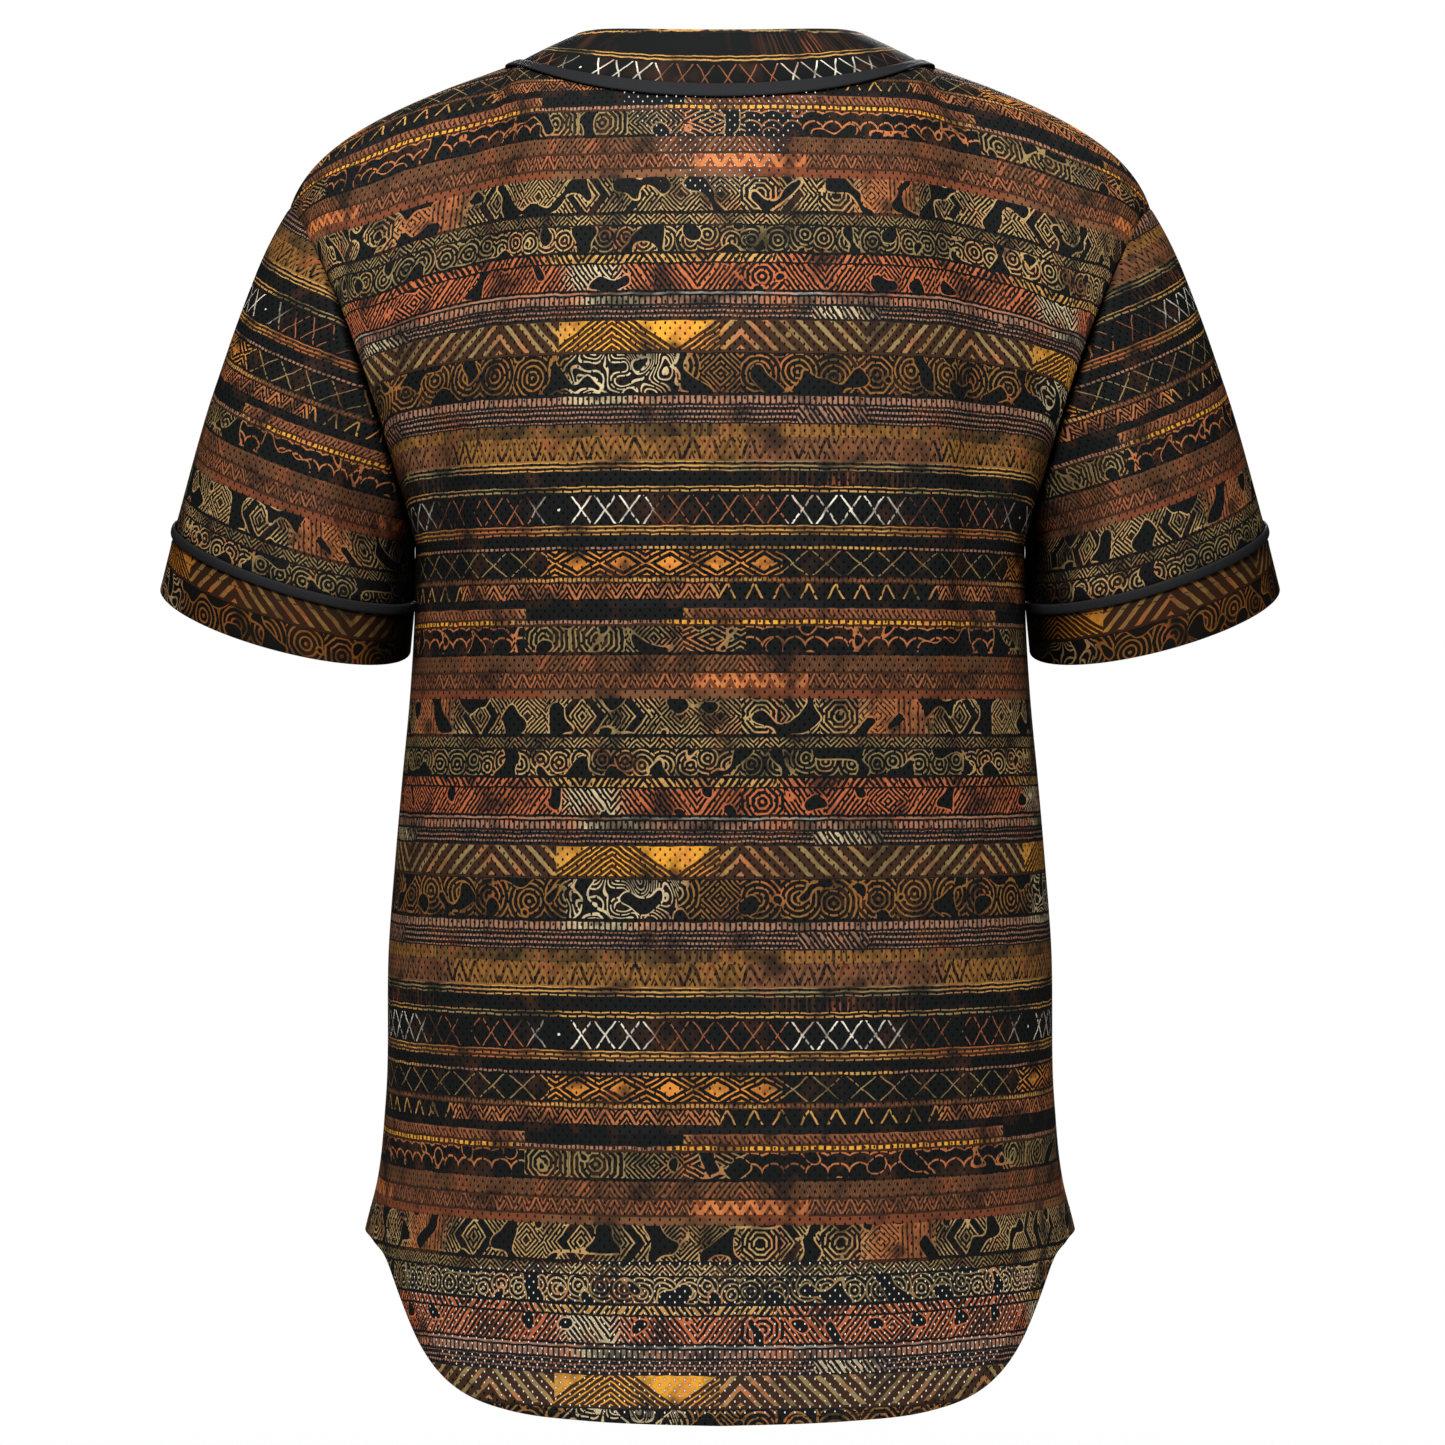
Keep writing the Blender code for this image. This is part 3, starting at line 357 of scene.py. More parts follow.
# Every form is a distance in metres whose steps are inked: either a sum of parts of |x|, x, |y| and
# the distance down the band, or one of the ways below.
WAYS = ("sum", "nested", "ring", "curl")
CELL_SHIFT, NESTED_CORNER = 0.46, 0.72
# The print's noises: scale, detail and roughness
WOBBLE_NOISE, CURL_NOISE, BLOT_NOISE = (130.0, 1.0), (2.7, 0.0), (72.0, 0.0)
TONE_NOISE, GRAIN_NOISE = (2.1, 2.0, 0.6), (520.0, 3.0, 0.65)
# How far noise moves a band, in metres, and a repeat, as a share of a tile, and what sets the random
# choices of the bands apart
BAND_WOBBLE, CELL_JITTER, BAND_SEED = 0.0016, 0.0068, 97
CURL_TURNS, CURL_LENGTH = 7, 0.045  # how fast the noise of curls changes down a tile, and its depth
DASH_SHIFT, DASH_SHARE, NO_DASH = 0.37, 0.64, 0.01  # from line to line, the inked share, and the least
BLOT_WEIGHT, BLOT_EDGE, BLOT_RIM = 0.7, 0.875, 0.034
PRINTED_HALF = 0.45  # how far from its middle a band is inked, as a share of its height
TONE_TURNS, TONE_SHIFT = 6, 3  # how fast the dye's noise changes down a tile, and from band to band
STRETCH_WOBBLE, STRETCH_EDGE = 0.08, 22  # how a second style's colours come in at its stretch's ends
INK_CONTRAST, INK_MIDDLE, INK_LEAST = 4.0, 0.80, 0.15
GRAIN_CONTRAST, GRAIN_LEAST = 1.7, 0.15
# Uneven dye: which of three slow noises, its way, where it sets in, how fast, how far, and the colour
INK_STAINS = ((1, 1, 0.52, 3.6, 1.0, EMBER),)
GROUND_STAINS = ((2, 1, 0.53, 4.5, 0.85, UMBER), (0, -1, -0.43, 7.0, 0.75, BLACK))
RAMP_STEPS = 255  # a colour ramp is looked up in so many steps, and bands start on them
LONGEST, WIDEST_SUM = 0.03, 8.0  # what a ramp's 1 stands for, in metres and in shares
TERM_METHODS = {
    "__add__": "ADD", "__sub__": "SUBTRACT", "__mul__": "MULTIPLY", "__truediv__": "DIVIDE",
    "__lt__": "LESS_THAN", "__gt__": "GREATER_THAN", "__abs__": "ABSOLUTE", "floor": "FLOOR",
    "fraction": "FRACT", "sine": "SINE", "root": "SQRT", "least": "MINIMUM", "most": "MAXIMUM",
}

# Painted shade in the cloth's colour: how far the ambient occlusion looks, how much it darkens and the
# least it leaves
CREVICE_REACH, CREVICE_DEPTH, CREVICE_LEAST = 0.045, 0.5, 0.04
# Looks: roughness, gloss, and the relief's strength and depth in metres
CLOTH_LOOK, TAPE_LOOK = (0.68, 0.04, 0.5, 0.00025), (0.7, 0.16, 0.35, 0.0002)
THREAD_LOOK, FLOOR_LOOK = (0.6, 0.2, 0.4, 0.0001), (0.9, 0.1)
SPECKLE_NOISE, TWIST_NOISE, CLOUD_NOISE = (900.0, 2.0), (3000.0, 2.0), (260.0, 3.0)
SPECKLE_RANGE, CLOUD_LIGHTER, BUTTON_ROUGH = (0.75, 1.3), 1.8, 0.2
# Painted shade: the cloth's inside is near black, and so are the rims of the mesh's holes
INSIDE_PAINTED_SHADE, HOLE_PAINTED_SHADE = (0.010, 0.0100, 0.0105), (0.0045, 0.0045, 0.0048)
PIPING_COLOUR, TAPE_PITCH = (0.0105, 0.0108, 0.0118), 0.0009
THREAD_COLOUR, THREAD_SHADE = (0.013, 0.013, 0.014), (0.007, 0.007, 0.008)
BUTTON_COLOUR = (0.014, 0.0135, 0.014)
FLOOR_COLOUR, FLOOR_GLOW = (0.80, 0.80, 0.80), 0.20


def smooth_table(table, columns, key, value, at):
    """Reads a table's column at any key, along a smooth curve through its rows."""
    rows = sorted(table, key=lambda row: row[columns.index(key)])
    keys = np.array([row[columns.index(key)] for row in rows])
    values = np.array([row[columns.index(value)] for row in rows])
    slopes = np.gradient(values, keys)
    at = np.clip(np.asarray(at, float), keys[0], keys[-1])
    left = np.clip(np.searchsorted(keys, at, side="right") - 1, 0, len(keys) - 2)
    step = keys[left + 1] - keys[left]
    t = (at - keys[left]) / step
    return (
        values[left] * (2 * t**3 - 3 * t**2 + 1)
        + slopes[left] * step * (t**3 - 2 * t**2 + t)
        + values[left + 1] * (3 * t**2 - 2 * t**3)
        + slopes[left + 1] * step * (t**3 - t**2)
    )


def bezier(start, start_pull, end_pull, end, t):
    """A cubic from start to end. The pulls are its handles, seen from their own ends."""
    t = np.asarray(t, float)[..., None]
    return (
        start * (1 - t) ** 3
        + 3 * (start + start_pull) * t * (1 - t) ** 2
        + 3 * (end + end_pull) * t**2 * (1 - t)
        + end * t**3
    )


def unit(vectors):
    return vectors / np.maximum(np.linalg.norm(vectors, axis=-1, keepdims=True), 1e-12)


def smooth_step(share):
    """Rises softly from 0 to 1 as share does."""
    share = np.clip(share, 0, 1)
    return share * share * (3 - 2 * share)


def closed(grid):
    """A grid with its first column once more at its end, for a way all round a tube."""
    return np.concatenate([grid, grid[:, :1]], axis=1)


def body_point(share, z, side):
    """A point of the body below the armpit row. share runs from -1 to 1 and side is 1 at the back."""
    turn = share * math.pi / 2
    half_width = smooth_table(BODY_SECTIONS, BODY_COLUMNS, "z", "half_width", z)
    depth = smooth_table(BODY_SECTIONS, BODY_COLUMNS, "z", "back" if side > 0 else "front", z)
    x = half_width * np.sign(turn) * np.abs(np.sin(turn)) ** SECTION_POWER
    y = side * depth * np.abs(np.cos(turn)) ** SECTION_POWER
    return np.stack([x, y, np.broadcast_to(z, x.shape)], axis=-1)


def armpit_row(share, side):
    return body_point(share, ARMPIT[2] - ARMPIT_ROW_DIP * (1 - np.abs(share) ** 3), side)


def neckline_height(x, side):
    """Height of the neckline over a distance from the middle: a shallow dip behind, a soft V in front."""
    across = np.abs(x) / NECK_POINT[0]
    if side > 0:
        return -BACK_NECK_DROP * np.clip(1 - across**2, 0, None) ** NECK_DIP_POWER
    lap = LAP_HALF / NECK_POINT[0]
    rise = np.clip((across - lap) / (1 - lap), 0, 1) ** NECK_V_POWER
    return -FRONT_NECK_DROP * (1 - rise)


def top_row(share, side):
    """The panel's top edge: the neckline in the middle and the shoulder seams at the ends."""
    share = np.asarray(share, float)
    size = np.abs(share)
    depth = BACK_NECK_DEPTH if side > 0 else FRONT_NECK_DEPTH
    inner = np.minimum(size, NECK_SHARE) * math.pi / 2
    neck_x = NECK_POINT[0] * (np.sin(inner) / math.sin(NECK_SHARE * math.pi / 2)) ** SECTION_POWER
    neck_y = side * depth * np.sqrt(np.clip(1 - (neck_x / NECK_POINT[0]) ** 2, 0, None))
    neck = np.stack([neck_x, neck_y, neckline_height(neck_x, side)], axis=-1)
    along = np.clip((size - NECK_SHARE) / (1 - NECK_SHARE), 0, 1)
    shoulder = bezier(NECK_POINT, SHOULDER_INNER_PULL, SHOULDER_OUTER_PULL, SHOULDER_POINT, along)
    row = np.where((size > NECK_SHARE)[..., None], shoulder, neck)
    row[..., 0] *= np.where(share < 0, -1.0, 1.0)
    return row


def rise_pulls(share, side):
    """The two handles of a column between the armpit row and the top."""
    table = BACK_RISE if side > 0 else FRONT_RISE
    size = np.abs(share)
    mirror = np.where(np.asarray(share) < 0, -1.0, 1.0)
    read = {name: smooth_table(table, RISE_COLUMNS, "share", name, size) for name in RISE_COLUMNS[1:]}
    low = np.stack([read["low_x"] * mirror, side * read["low_depth"], read["low_z"]], axis=-1)
    top = np.stack([read["top_x"] * mirror, side * read["top_depth"], read["top_z"]], axis=-1)
    return low, top


def panel_point(share, level, side):
    """The cloth's outer side. level is 1 at the top edge, 0 at the armpit row and -1 at the hem."""
    share, level = np.broadcast_arrays(np.asarray(share, float), np.asarray(level, float))
    low, top = rise_pulls(share, side)
    up = bezier(armpit_row(share, side), low, top, top_row(share, side), np.clip(level, 0, 1))
    drop = np.clip(-level, 0, 1)
    hem = smooth_table(BACK_HEM if side > 0 else FRONT_HEM, HEM_COLUMNS, "share", "z", np.abs(share))
    vent = BACK_HEM[-1][HEM_COLUMNS.index("z")]
    row_start = ARMPIT[2] - ARMPIT_ROW_DIP * (1 - np.abs(share) ** 3) * (1 - drop) ** 2
    z = row_start + (vent - row_start) * drop + (hem - vent) * drop**4
    down = body_point(share, z, side)
    return np.where((level > 0)[..., None], up, down)


def fold_height(points, side):
    """How far the folds and creases lift the cloth at each point."""
    height = np.zeros(points.shape[:-1])
    for row in FOLDS + CREASES:
        fold = dict(zip(FOLD_COLUMNS, row))
        if fold["side"] != side:
            continue
        turn = math.radians(fold["lean"])
        x, z = points[..., 0] - fold["x"], points[..., 2] - fold["z"]
        across = (x * math.cos(turn) + z * math.sin(turn)) / fold["half_width"]
        along = (z * math.cos(turn) - x * math.sin(turn)) / fold["half_length"]
        height += fold["height"] * np.exp(-(across**2) - along**4)
    return height


def sleeve_fold_height(turn, along):
    height = np.zeros(np.broadcast_shapes(turn.shape, along.shape))
    for row in SLEEVE_FOLDS + SLEEVE_CREASES:
        fold = dict(zip(SLEEVE_FOLD_COLUMNS, row))
        across = (turn - math.radians(fold["turn"])) / math.radians(fold["half_turn"])
        length = (along - fold["along"]) / fold["half_along"]
        height += fold["height"] * np.exp(-(across**2) - length**4)
    return height * np.clip(np.minimum(along, 1 - along) / SLEEVE_FADE, 0, 1)


def normals_of(points, wrap_columns=False):
    """Unit normals of a grid of points."""
    along_rows = np.gradient(points, axis=0, edge_order=2 if len(points) > 2 else 1)
    if wrap_columns:
        across = np.roll(points, -1, axis=1) - np.roll(points, 1, axis=1)
    else:
        across = np.gradient(points, axis=1, edge_order=2)
    return unit(np.cross(across, along_rows))


def lengths_along(points, axis):
    """Distance along each line of a grid from its first point."""
    steps = np.linalg.norm(np.diff(points, axis=axis), axis=-1)
    start = np.zeros_like(np.take(steps, [0], axis=axis))
    return np.concatenate([start, np.cumsum(steps, axis=axis)], axis=axis)


def panel_normals(points, side):
    normals = normals_of(points)
    return normals if normals[..., 1].sum() * side > 0 else -normals


def lap_sink(points):
    """How deep the under side of the button front lies: it steps down beside the upper side's edge."""
    return LAP_SINK * smooth_step((points[..., 0] + LAP_HALF + LAP_STEP_START) / LAP_STEP_WIDTH)


def share_at(x):
    return (x / ARMPIT[0]) ** (1 / SECTION_POWER) * 2 / math.pi


def armhole(count):
    """Points round the armhole on the wearer's left: armpit, back, shoulder point, front."""
    t = np.linspace(0, 1, count + 1)
    edges = []
    for side in (1, -1):
        low, top = rise_pulls(np.array(1.0), side)
        edges.append(bezier(ARMPIT, low, top, SHOULDER_POINT, t))
    return np.concatenate([edges[0][:-1], edges[1][:0:-1]])


def sleeve_ring(ring, count):
    """An ellipse round the sleeve: under side first, then the back, the outer side and the front."""
    centre, outer, back = ring
    turn = np.linspace(0, 2 * math.pi, 2 * count, endpoint=False)[:, None]
    return centre - outer * np.cos(turn) + back * np.sin(turn)


def sleeve_point(along):
    """Outer side of the mesh sleeve. along is 0 at the armhole and 1 at the cuff's piping."""
    start = armhole(SLEEVE_COLUMNS)
    end = sleeve_ring(CUFF_JOIN, SLEEVE_COLUMNS)
    turn = np.linspace(0, 2 * math.pi, 2 * SLEEVE_COLUMNS, endpoint=False)[:, None]
    outer_share, side_share = (1 - np.cos(turn)) / 2, np.abs(np.sin(turn))
    plain = SLEEVE_UNDER_PULL * (1 - outer_share) + SLEEVE_TOP_PULL * outer_share
    pull = plain * (1 - side_share) + SLEEVE_SIDE_PULL * side_share
    axis = unit(np.cross(CUFF_JOIN[2], CUFF_JOIN[1]))
    end_length = SLEEVE_END_PULL[1] + (SLEEVE_END_PULL[0] - SLEEVE_END_PULL[1]) * outer_share
    along = np.asarray(along, float)[:, None] * np.ones(len(start))
    return bezier(start, pull, -axis * end_length, end, along)


def mirrored(points, hand):
    return points * np.array([hand, 1.0, 1.0])


def tube_normals(points):
    """Unit normals of a tube's points, pointing away from its middle."""
    normals = normals_of(points, True)
    middle = points.mean(axis=1, keepdims=True)
    return normals if (normals * (points - middle)).sum() > 0 else -normals


def neck_ring(turn):
    """The neck seam and the neckband's free edge. turn is 0 at the back and pi at the front's middle."""
    size = np.abs(turn)
    x = np.sin(size)
    front = size > math.pi / 2
    round_it = np.cos(np.where(front, math.pi - size, size))
    mirror = np.where(turn < 0, -1.0, 1.0)
    height = np.where(front, *(neckline_height(NECK_POINT[0] * x, side) for side in (-1, 1)))
    depth = np.where(front, -FRONT_NECK_DEPTH, BACK_NECK_DEPTH) * round_it
    seam = np.stack([NECK_POINT[0] * x * mirror, depth, height], axis=-1)
    lap = LAP_HALF / BAND_SIDE[0]
    rise = np.clip((np.abs(x) - lap) / (1 - lap), 0, 1)
    front_z = BAND_FRONT[2] + (BAND_SIDE[2] - BAND_FRONT[2]) * rise**BAND_V_POWER
    back_z = BAND_BACK[2] + (BAND_SIDE[2] - BAND_BACK[2]) * np.abs(x) ** 2
    wider = np.where(front, np.clip(1 - np.abs(x), 0, 1) ** BAND_FRONT_WIDER, 0)
    edge_x = BAND_SIDE[0] + (NECK_POINT[0] - BAND_SIDE[0]) * np.where(size > math.pi, 1, wider)
    edge_y = np.where(front, BAND_FRONT[1], BAND_BACK[1]) * round_it
    edge = np.stack([edge_x * x * mirror, edge_y, np.where(front, front_z, back_z)], axis=-1)
    return seam, edge


def neck_frame(turn):
    """The seam with the directions along the body, along the band and straight out of the cloth."""
    seam, edge = neck_ring(turn)
    size = np.abs(turn)
    x_share = np.clip(np.abs(seam[:, 0]) / NECK_POINT[0], 0, 1)
    sine = math.sin(NECK_SHARE * math.pi / 2) * x_share ** (1 / SECTION_POWER)
    half_turn = np.arcsin(np.clip(sine, 0, 1))
    share = np.sign(seam[:, 0]) * half_turn * 2 / math.pi
    pulls = [rise_pulls(share, side)[1] for side in (1, -1)]
    to_body = unit(np.where((size > math.pi / 2)[:, None], pulls[1], pulls[0]))
    near_side = np.exp(-(((size - math.pi / 2) / SIDE_TURN) ** 2))[:, None]
    outwards = np.stack([np.sign(seam[:, 0]), seam[:, 0] * 0, np.full(len(seam), SIDE_SLOPE)], axis=-1)
    to_body = unit(to_body * (1 - near_side) + unit(outwards) * near_side)
    to_band = unit(edge - seam)
    along = np.gradient(seam, axis=0, edge_order=2)
    normal = unit(np.cross(along, to_body - to_band))
    inside = np.array([0.0, 0.0, ARMPIT[2]])
    if (normal * (seam - inside)).sum() < 0:
        normal = -normal
    return seam, edge, to_body, to_band, normal


def put(tree, value, socket):
    """Gives a socket its value: a number, a colour of three numbers, a term or another socket."""
    if isinstance(value, Term):
        value = value.socket
    if isinstance(value, bpy.types.NodeSocket):
        tree.links.new(value, socket)
    else:
        socket.default_value = (*value, 1.0) if isinstance(value, tuple) else value


class Term:
    """A number in a shader's node tree. Plain arithmetic on terms makes Math nodes."""

    def __init__(self, tree, socket):
        self.tree, self.socket = tree, socket

    def math(self, operation, *others):
        node = self.tree.nodes.new("ShaderNodeMath")
        node.operation = operation
        for socket, value in zip(node.inputs, (self, *others)):
            put(self.tree, value, socket)
        return Term(self.tree, node.outputs[0])

    def is_number(self, number):
        return self.math("COMPARE", number, 0.5)

    def between(self, low, high):
        return self.most(low).least(high)


for method, operation in TERM_METHODS.items():
    setattr(Term, method, functools.partialmethod(Term.math, operation))


def linked(tree, kind, inputs, **settings):
    """A new node with settings, and with inputs by their name or number."""
    node = tree.nodes.new(kind)
    for name, value in settings.items():
        setattr(node, name, value)
    for name, value in inputs.items():
        put(tree, value, node.inputs[name])
    return node


def colour_mix(tree, factor, first, second, way="MIX"):
    """Colour sockets 6 and 7 of a Mix node are its A and B, and output 2 is its result."""
    inputs = {0: factor, 6: first, 7: second}
    return linked(tree, "ShaderNodeMix", inputs, data_type="RGBA", blend_type=way).outputs[2]


def step_table(tree, place, starts, colours):
    """A ramp of flat steps, one for each band."""
    node = tree.nodes.new("ShaderNodeValToRGB")
    ramp = node.color_ramp
    ramp.interpolation = "CONSTANT"
    ramp.elements.remove(ramp.elements[1])
    ramp.elements[0].color = (*colours[0], 1.0)
    for start, colour in zip(starts[1:], colours[1:]):
        ramp.elements.new(start).color = (*colour, 1.0)
    tree.links.new(place.socket, node.inputs[0])
    return node.outputs[0]


def parts_of(tree, socket):
    """The three numbers of a colour or vector."""
    return [Term(tree, output) for output in linked(tree, "ShaderNodeSeparateXYZ", {0: socket}).outputs]


def joined(tree, *numbers):
    """A vector of two or three numbers."""
    return linked(tree, "ShaderNodeCombineXYZ", dict(zip("XYZ", numbers))).outputs[0]


def noise(tree, vector, scale, detail, roughness=0.5):
    """The outputs Fac and Color of a noise."""
    inputs = {"Vector": vector, "Scale": scale, "Detail": detail, "Roughness": roughness}
    return linked(tree, "ShaderNodeTexNoise", inputs).outputs


def form_numbers(form, steep):
    """The shares of |x|, x, |y| and the distance down the band in a form, and its way.

    steep is the band's height over the width of one repeat.
    """
    forms = {
        "rows": (0, 0, 0, 1, "sum"),
        "middle": (0, 0, 1, 0, "sum"),
        "bars": (0, 1, 0, 0, "sum"),
        "zigzag": (2 * steep, 0, 0, -1, "sum"),
        "peaks": (1, 0, 0, 1, "sum"),
        "funnels": (0.70, 0, 0, 1, "sum"),
        "spikes": (steep / 0.32, 0, 0, -1, "sum"),
        "slant": (0, 1, 0, -0.75, "sum"),
        "arrows": (0, 1, 0.8, 0, "sum"),
        "diamonds": (steep, 0, 1, 0, "sum"),
        "crosses": (steep, 0, -0.92, 0, "sum"),
        "circles": (0, 0.35, 0, 0, "ring"),
        "arches": (0, 0, 0.36, 0, "ring"),
        "curls": (0, 0, 0, 0, "curl"),
    }
    return forms[form]


def style_numbers(style, height):
    """A style's numbers as triples from 0 to 1, as colour ramps hold them, and its colours."""
    cell = TILE / style.count
    pitch = style.pitch / 1000
    *shares, way = form_numbers(style.form, height / cell)
    if shares[1] == 1:
        pitch = cell / max(round(cell / pitch), 1)
    shares = [(share + WIDEST_SUM / 2) / WIDEST_SUM for share in shares]
    return (
        (1 / style.count, pitch / LONGEST, style.share),
        tuple(shares[:3]),
        (shares[3], WAYS.index(way) / len(WAYS), (style.fill / 1000 / LONGEST + 1) / 2),
        (style.dash / 1000 / LONGEST, style.variety, style.turns),
        style.ground,
        style.ink,
    )


def form_distance(x, y, down, cell, height, shares, way, chances, curl):
    """The distance whose steps a style inks."""
    across, size, tall, fall = shares
    wide, high = abs(x), abs(y)
    plain_sum = wide * across + x * size + high * tall + down * fall
    square = wide.most(high).most((wide + high) * NESTED_CORNER)
    nested = square + ((wide + high) - square) * (chances[0] > 0.5)
    ring_x = x + (chances[1] - 0.5) * cell * size
    ring_y = y - height * tall + (chances[2] - 0.5) * height * size
    ring = (ring_x * ring_x + ring_y * ring_y).root()
    numbered = enumerate((plain_sum, nested, ring, curl))
    plain_sum, nested, ring, curl = (distance * way.is_number(number) for number, distance in numbered)
    return abs(plain_sum + nested + ring + curl)


def stained(tree, colour, tones, stains):
    """A colour with others mixed in where the slow noises of the dye are strong."""
    for number, way, start, slope, most, stain in stains:
        amount = ((tones[number] * way - start).most(0.0) * slope).least(most)
        colour = colour_mix(tree, amount, colour, stain)
    return colour


def print_group():
    """The printed bands as a node group. It takes u and the distance down the cloth, in metres."""
    tree = bpy.data.node_groups.new("banded_print", "ShaderNodeTree")
    for name in ("Across", "Down"):
        tree.interface.new_socket(name, in_out="INPUT", socket_type="NodeSocketFloat")
    tree.interface.new_socket("Color", in_out="OUTPUT", socket_type="NodeSocketColor")
    across, down = (Term(tree, socket) for socket in tree.nodes.new("NodeGroupInput").outputs[:2])

    flat = joined(tree, across, down)
    wobble = parts_of(tree, noise(tree, flat, *WOBBLE_NOISE)["Color"])
    tile_u = (across / TILE + TILE_LEFT).fraction()
    turn = ((down + (wobble[1] - 0.5) * BAND_WOBBLE) / TILE).fraction()

    heights = np.array([band.height for band in BANDS], float)
    starts = np.ceil((np.cumsum(heights) - heights) / heights.sum() * RAMP_STEPS) / RAMP_STEPS
    heights = (np.append(starts[1:], 1.0) - starts) * TILE
    styles = [
        [style_numbers(getattr(band, column), height) for band, height in zip(BANDS, heights)]
        for column in ("first", "second")
    ]

    def chosen(number, factor):
        tables = [step_table(tree, turn, starts, [row[number] for row in rows]) for rows in styles]
        return colour_mix(tree, factor, *tables)

    sizes = [(start, height / LONGEST, band.blots) for start, height, band in zip(starts, heights, BANDS)]
    start, height, blots = parts_of(tree, step_table(tree, turn, starts, sizes))
    height = height * LONGEST
    stretches = [(band.middle, band.half, band.repeats / 2) for band in BANDS]
    middle, half, repeats = parts_of(tree, step_table(tree, turn, starts, stretches))
    stretch = half - abs((tile_u * repeats * 2 - middle + 0.5).fraction() - 0.5)
    second = stretch > 0
    cell_share, pitch, share = parts_of(tree, chosen(0, second))
    shares = parts_of(tree, chosen(1, second))
    fall, way, fill = parts_of(tree, chosen(2, second))
    dash, variety, turns = parts_of(tree, chosen(3, second))
    shares = [(number - 0.5) * WIDEST_SUM for number in (*shares, fall)]

    down_band = (turn - start) * TILE
    y = down_band - height * 0.5
    place = (tile_u + CELL_SHIFT + (wobble[0] - 0.5) * CELL_JITTER) / cell_share
    cell = cell_share * TILE
    pick = joined(tree, place.floor(), start * BAND_SEED, second)
    random = linked(tree, "ShaderNodeTexWhiteNoise", {"Vector": pick}, noise_dimensions="3D")
    chances = parts_of(tree, random.outputs["Color"])
    x = (place.fraction() - 0.5) * cell * ((chances[0] > 0.5) * turns * -2 + 1)

    angle = across * (2 * math.pi / TILE)
    ring = (angle.sine(), (angle + math.pi / 2).sine())
    curls = joined(tree, *ring, turn * CURL_TURNS)
    curl = Term(tree, noise(tree, curls, *CURL_NOISE)["Fac"]) * CURL_LENGTH
    way = way * len(WAYS)
    way = way + (way * -1 + 1) * (chances[2] < variety)
    distance = form_distance(x, y, down_band, cell, height, shares, way, chances, curl)

    steps = distance / (pitch * LONGEST)
    dashes = (across / (dash * LONGEST) + steps.floor() * DASH_SHIFT).fraction() < DASH_SHARE
    fill = (fill * 2 - 1) * LONGEST
    bare = (distance * -1) > fill
    lines = (steps.fraction() < share).most(distance < fill) * (bare * -1 + 1)
    blot = Term(tree, noise(tree, flat, *BLOT_NOISE)["Fac"]) + blots * BLOT_WEIGHT
    inside, rim = blot > BLOT_EDGE, blot > BLOT_EDGE - BLOT_RIM
    mask = (lines * dashes.most(dash < NO_DASH) * (inside * -1 + 1)).most(rim - inside)
    mask = mask * (abs(y) < height * PRINTED_HALF)

    tones = joined(tree, *ring, turn * TONE_TURNS + start * TONE_SHIFT)
    tone = parts_of(tree, noise(tree, tones, *TONE_NOISE)["Color"])
    soft = ((stretch + (tone[2] - 0.5) * STRETCH_WOBBLE) * STRETCH_EDGE + 0.5).between(0.0, 1.0)
    ground = stained(tree, chosen(4, second), tone, GROUND_STAINS)
    ground = colour_mix(tree, inside, ground, BLACK)
    ink = stained(tree, chosen(5, soft), tone, INK_STAINS)
    strength = ((tone[0] - 0.5) * INK_CONTRAST + INK_MIDDLE).between(INK_LEAST, 1.0)
    rough = Term(tree, noise(tree, flat, *GRAIN_NOISE)["Fac"]) * GRAIN_CONTRAST + GRAIN_LEAST
    colour = colour_mix(tree, mask * (strength * rough).least(1.0), ground, ink)
    linked(tree, "NodeGroupOutput", {0: colour})
    return tree


def new_material(name):
    material = bpy.data.materials.new(name)
    material.use_nodes = True
    material.node_tree.nodes.clear()
    return material, material.node_tree


def surface(tree, colour, roughness, gloss=0.5, strength=1, depth=1, height=None, clear=None, glow=0.0):
    """Ends a material. height is its relief, and clear is how much of what lies behind is seen."""
    inputs = {
        "Base Color": colour,
        "Roughness": roughness,
        "Specular IOR Level": gloss,
        "Emission Strength": glow,
    }
    if height is not None:
        relief = {"Strength": strength, "Distance": depth, "Height": height}
        inputs["Normal"] = linked(tree, "ShaderNodeBump", relief).outputs[0]
    result = linked(tree, "ShaderNodeBsdfPrincipled", inputs).outputs[0]
    if clear is not None:
        air = tree.nodes.new("ShaderNodeBsdfTransparent").outputs[0]
        result = linked(tree, "ShaderNodeMixShader", {0: clear, 1: result, 2: air}).outputs[0]
    linked(tree, "ShaderNodeOutputMaterial", {0: result})


def shaded(colour, factor):
    return tuple(part * factor for part in colour)


def cloth_map(tree):
    """u and v of the flat cloth, in metres."""
    spot = tree.nodes.new("ShaderNodeUVMap")
    spot.uv_map = "cloth"
    return parts_of(tree, spot.outputs[0])[:2]


def hole_distance(u, v):
    """0 at the middle of a mesh hole and 1 at its edge. Every other row is half a pitch aside."""
    row = v / MESH_ROW
    across = ((u / MESH_PITCH + row.floor() * 0.5).fraction() - 0.5) * (MESH_PITCH / HOLE_HALF_WIDTH)
    along = (row.fraction() - 0.5) * (MESH_ROW / HOLE_HALF_HEIGHT)
    return (across * across + along * along).root()


def painted_crevice_shade(tree):
    """Painted shade: a grey from ambient occlusion, white on open cloth and darker down in its folds and
    seams, that multiplies the cloth's colour.
    """
    openness = linked(tree, "ShaderNodeAmbientOcclusion", {"Distance": CREVICE_REACH}, samples=4)
    tone = Term(tree, openness.outputs["AO"]) * (1 + CREVICE_DEPTH) - CREVICE_DEPTH
    return joined(tree, *[tone.most(CREVICE_LEAST)] * 3)


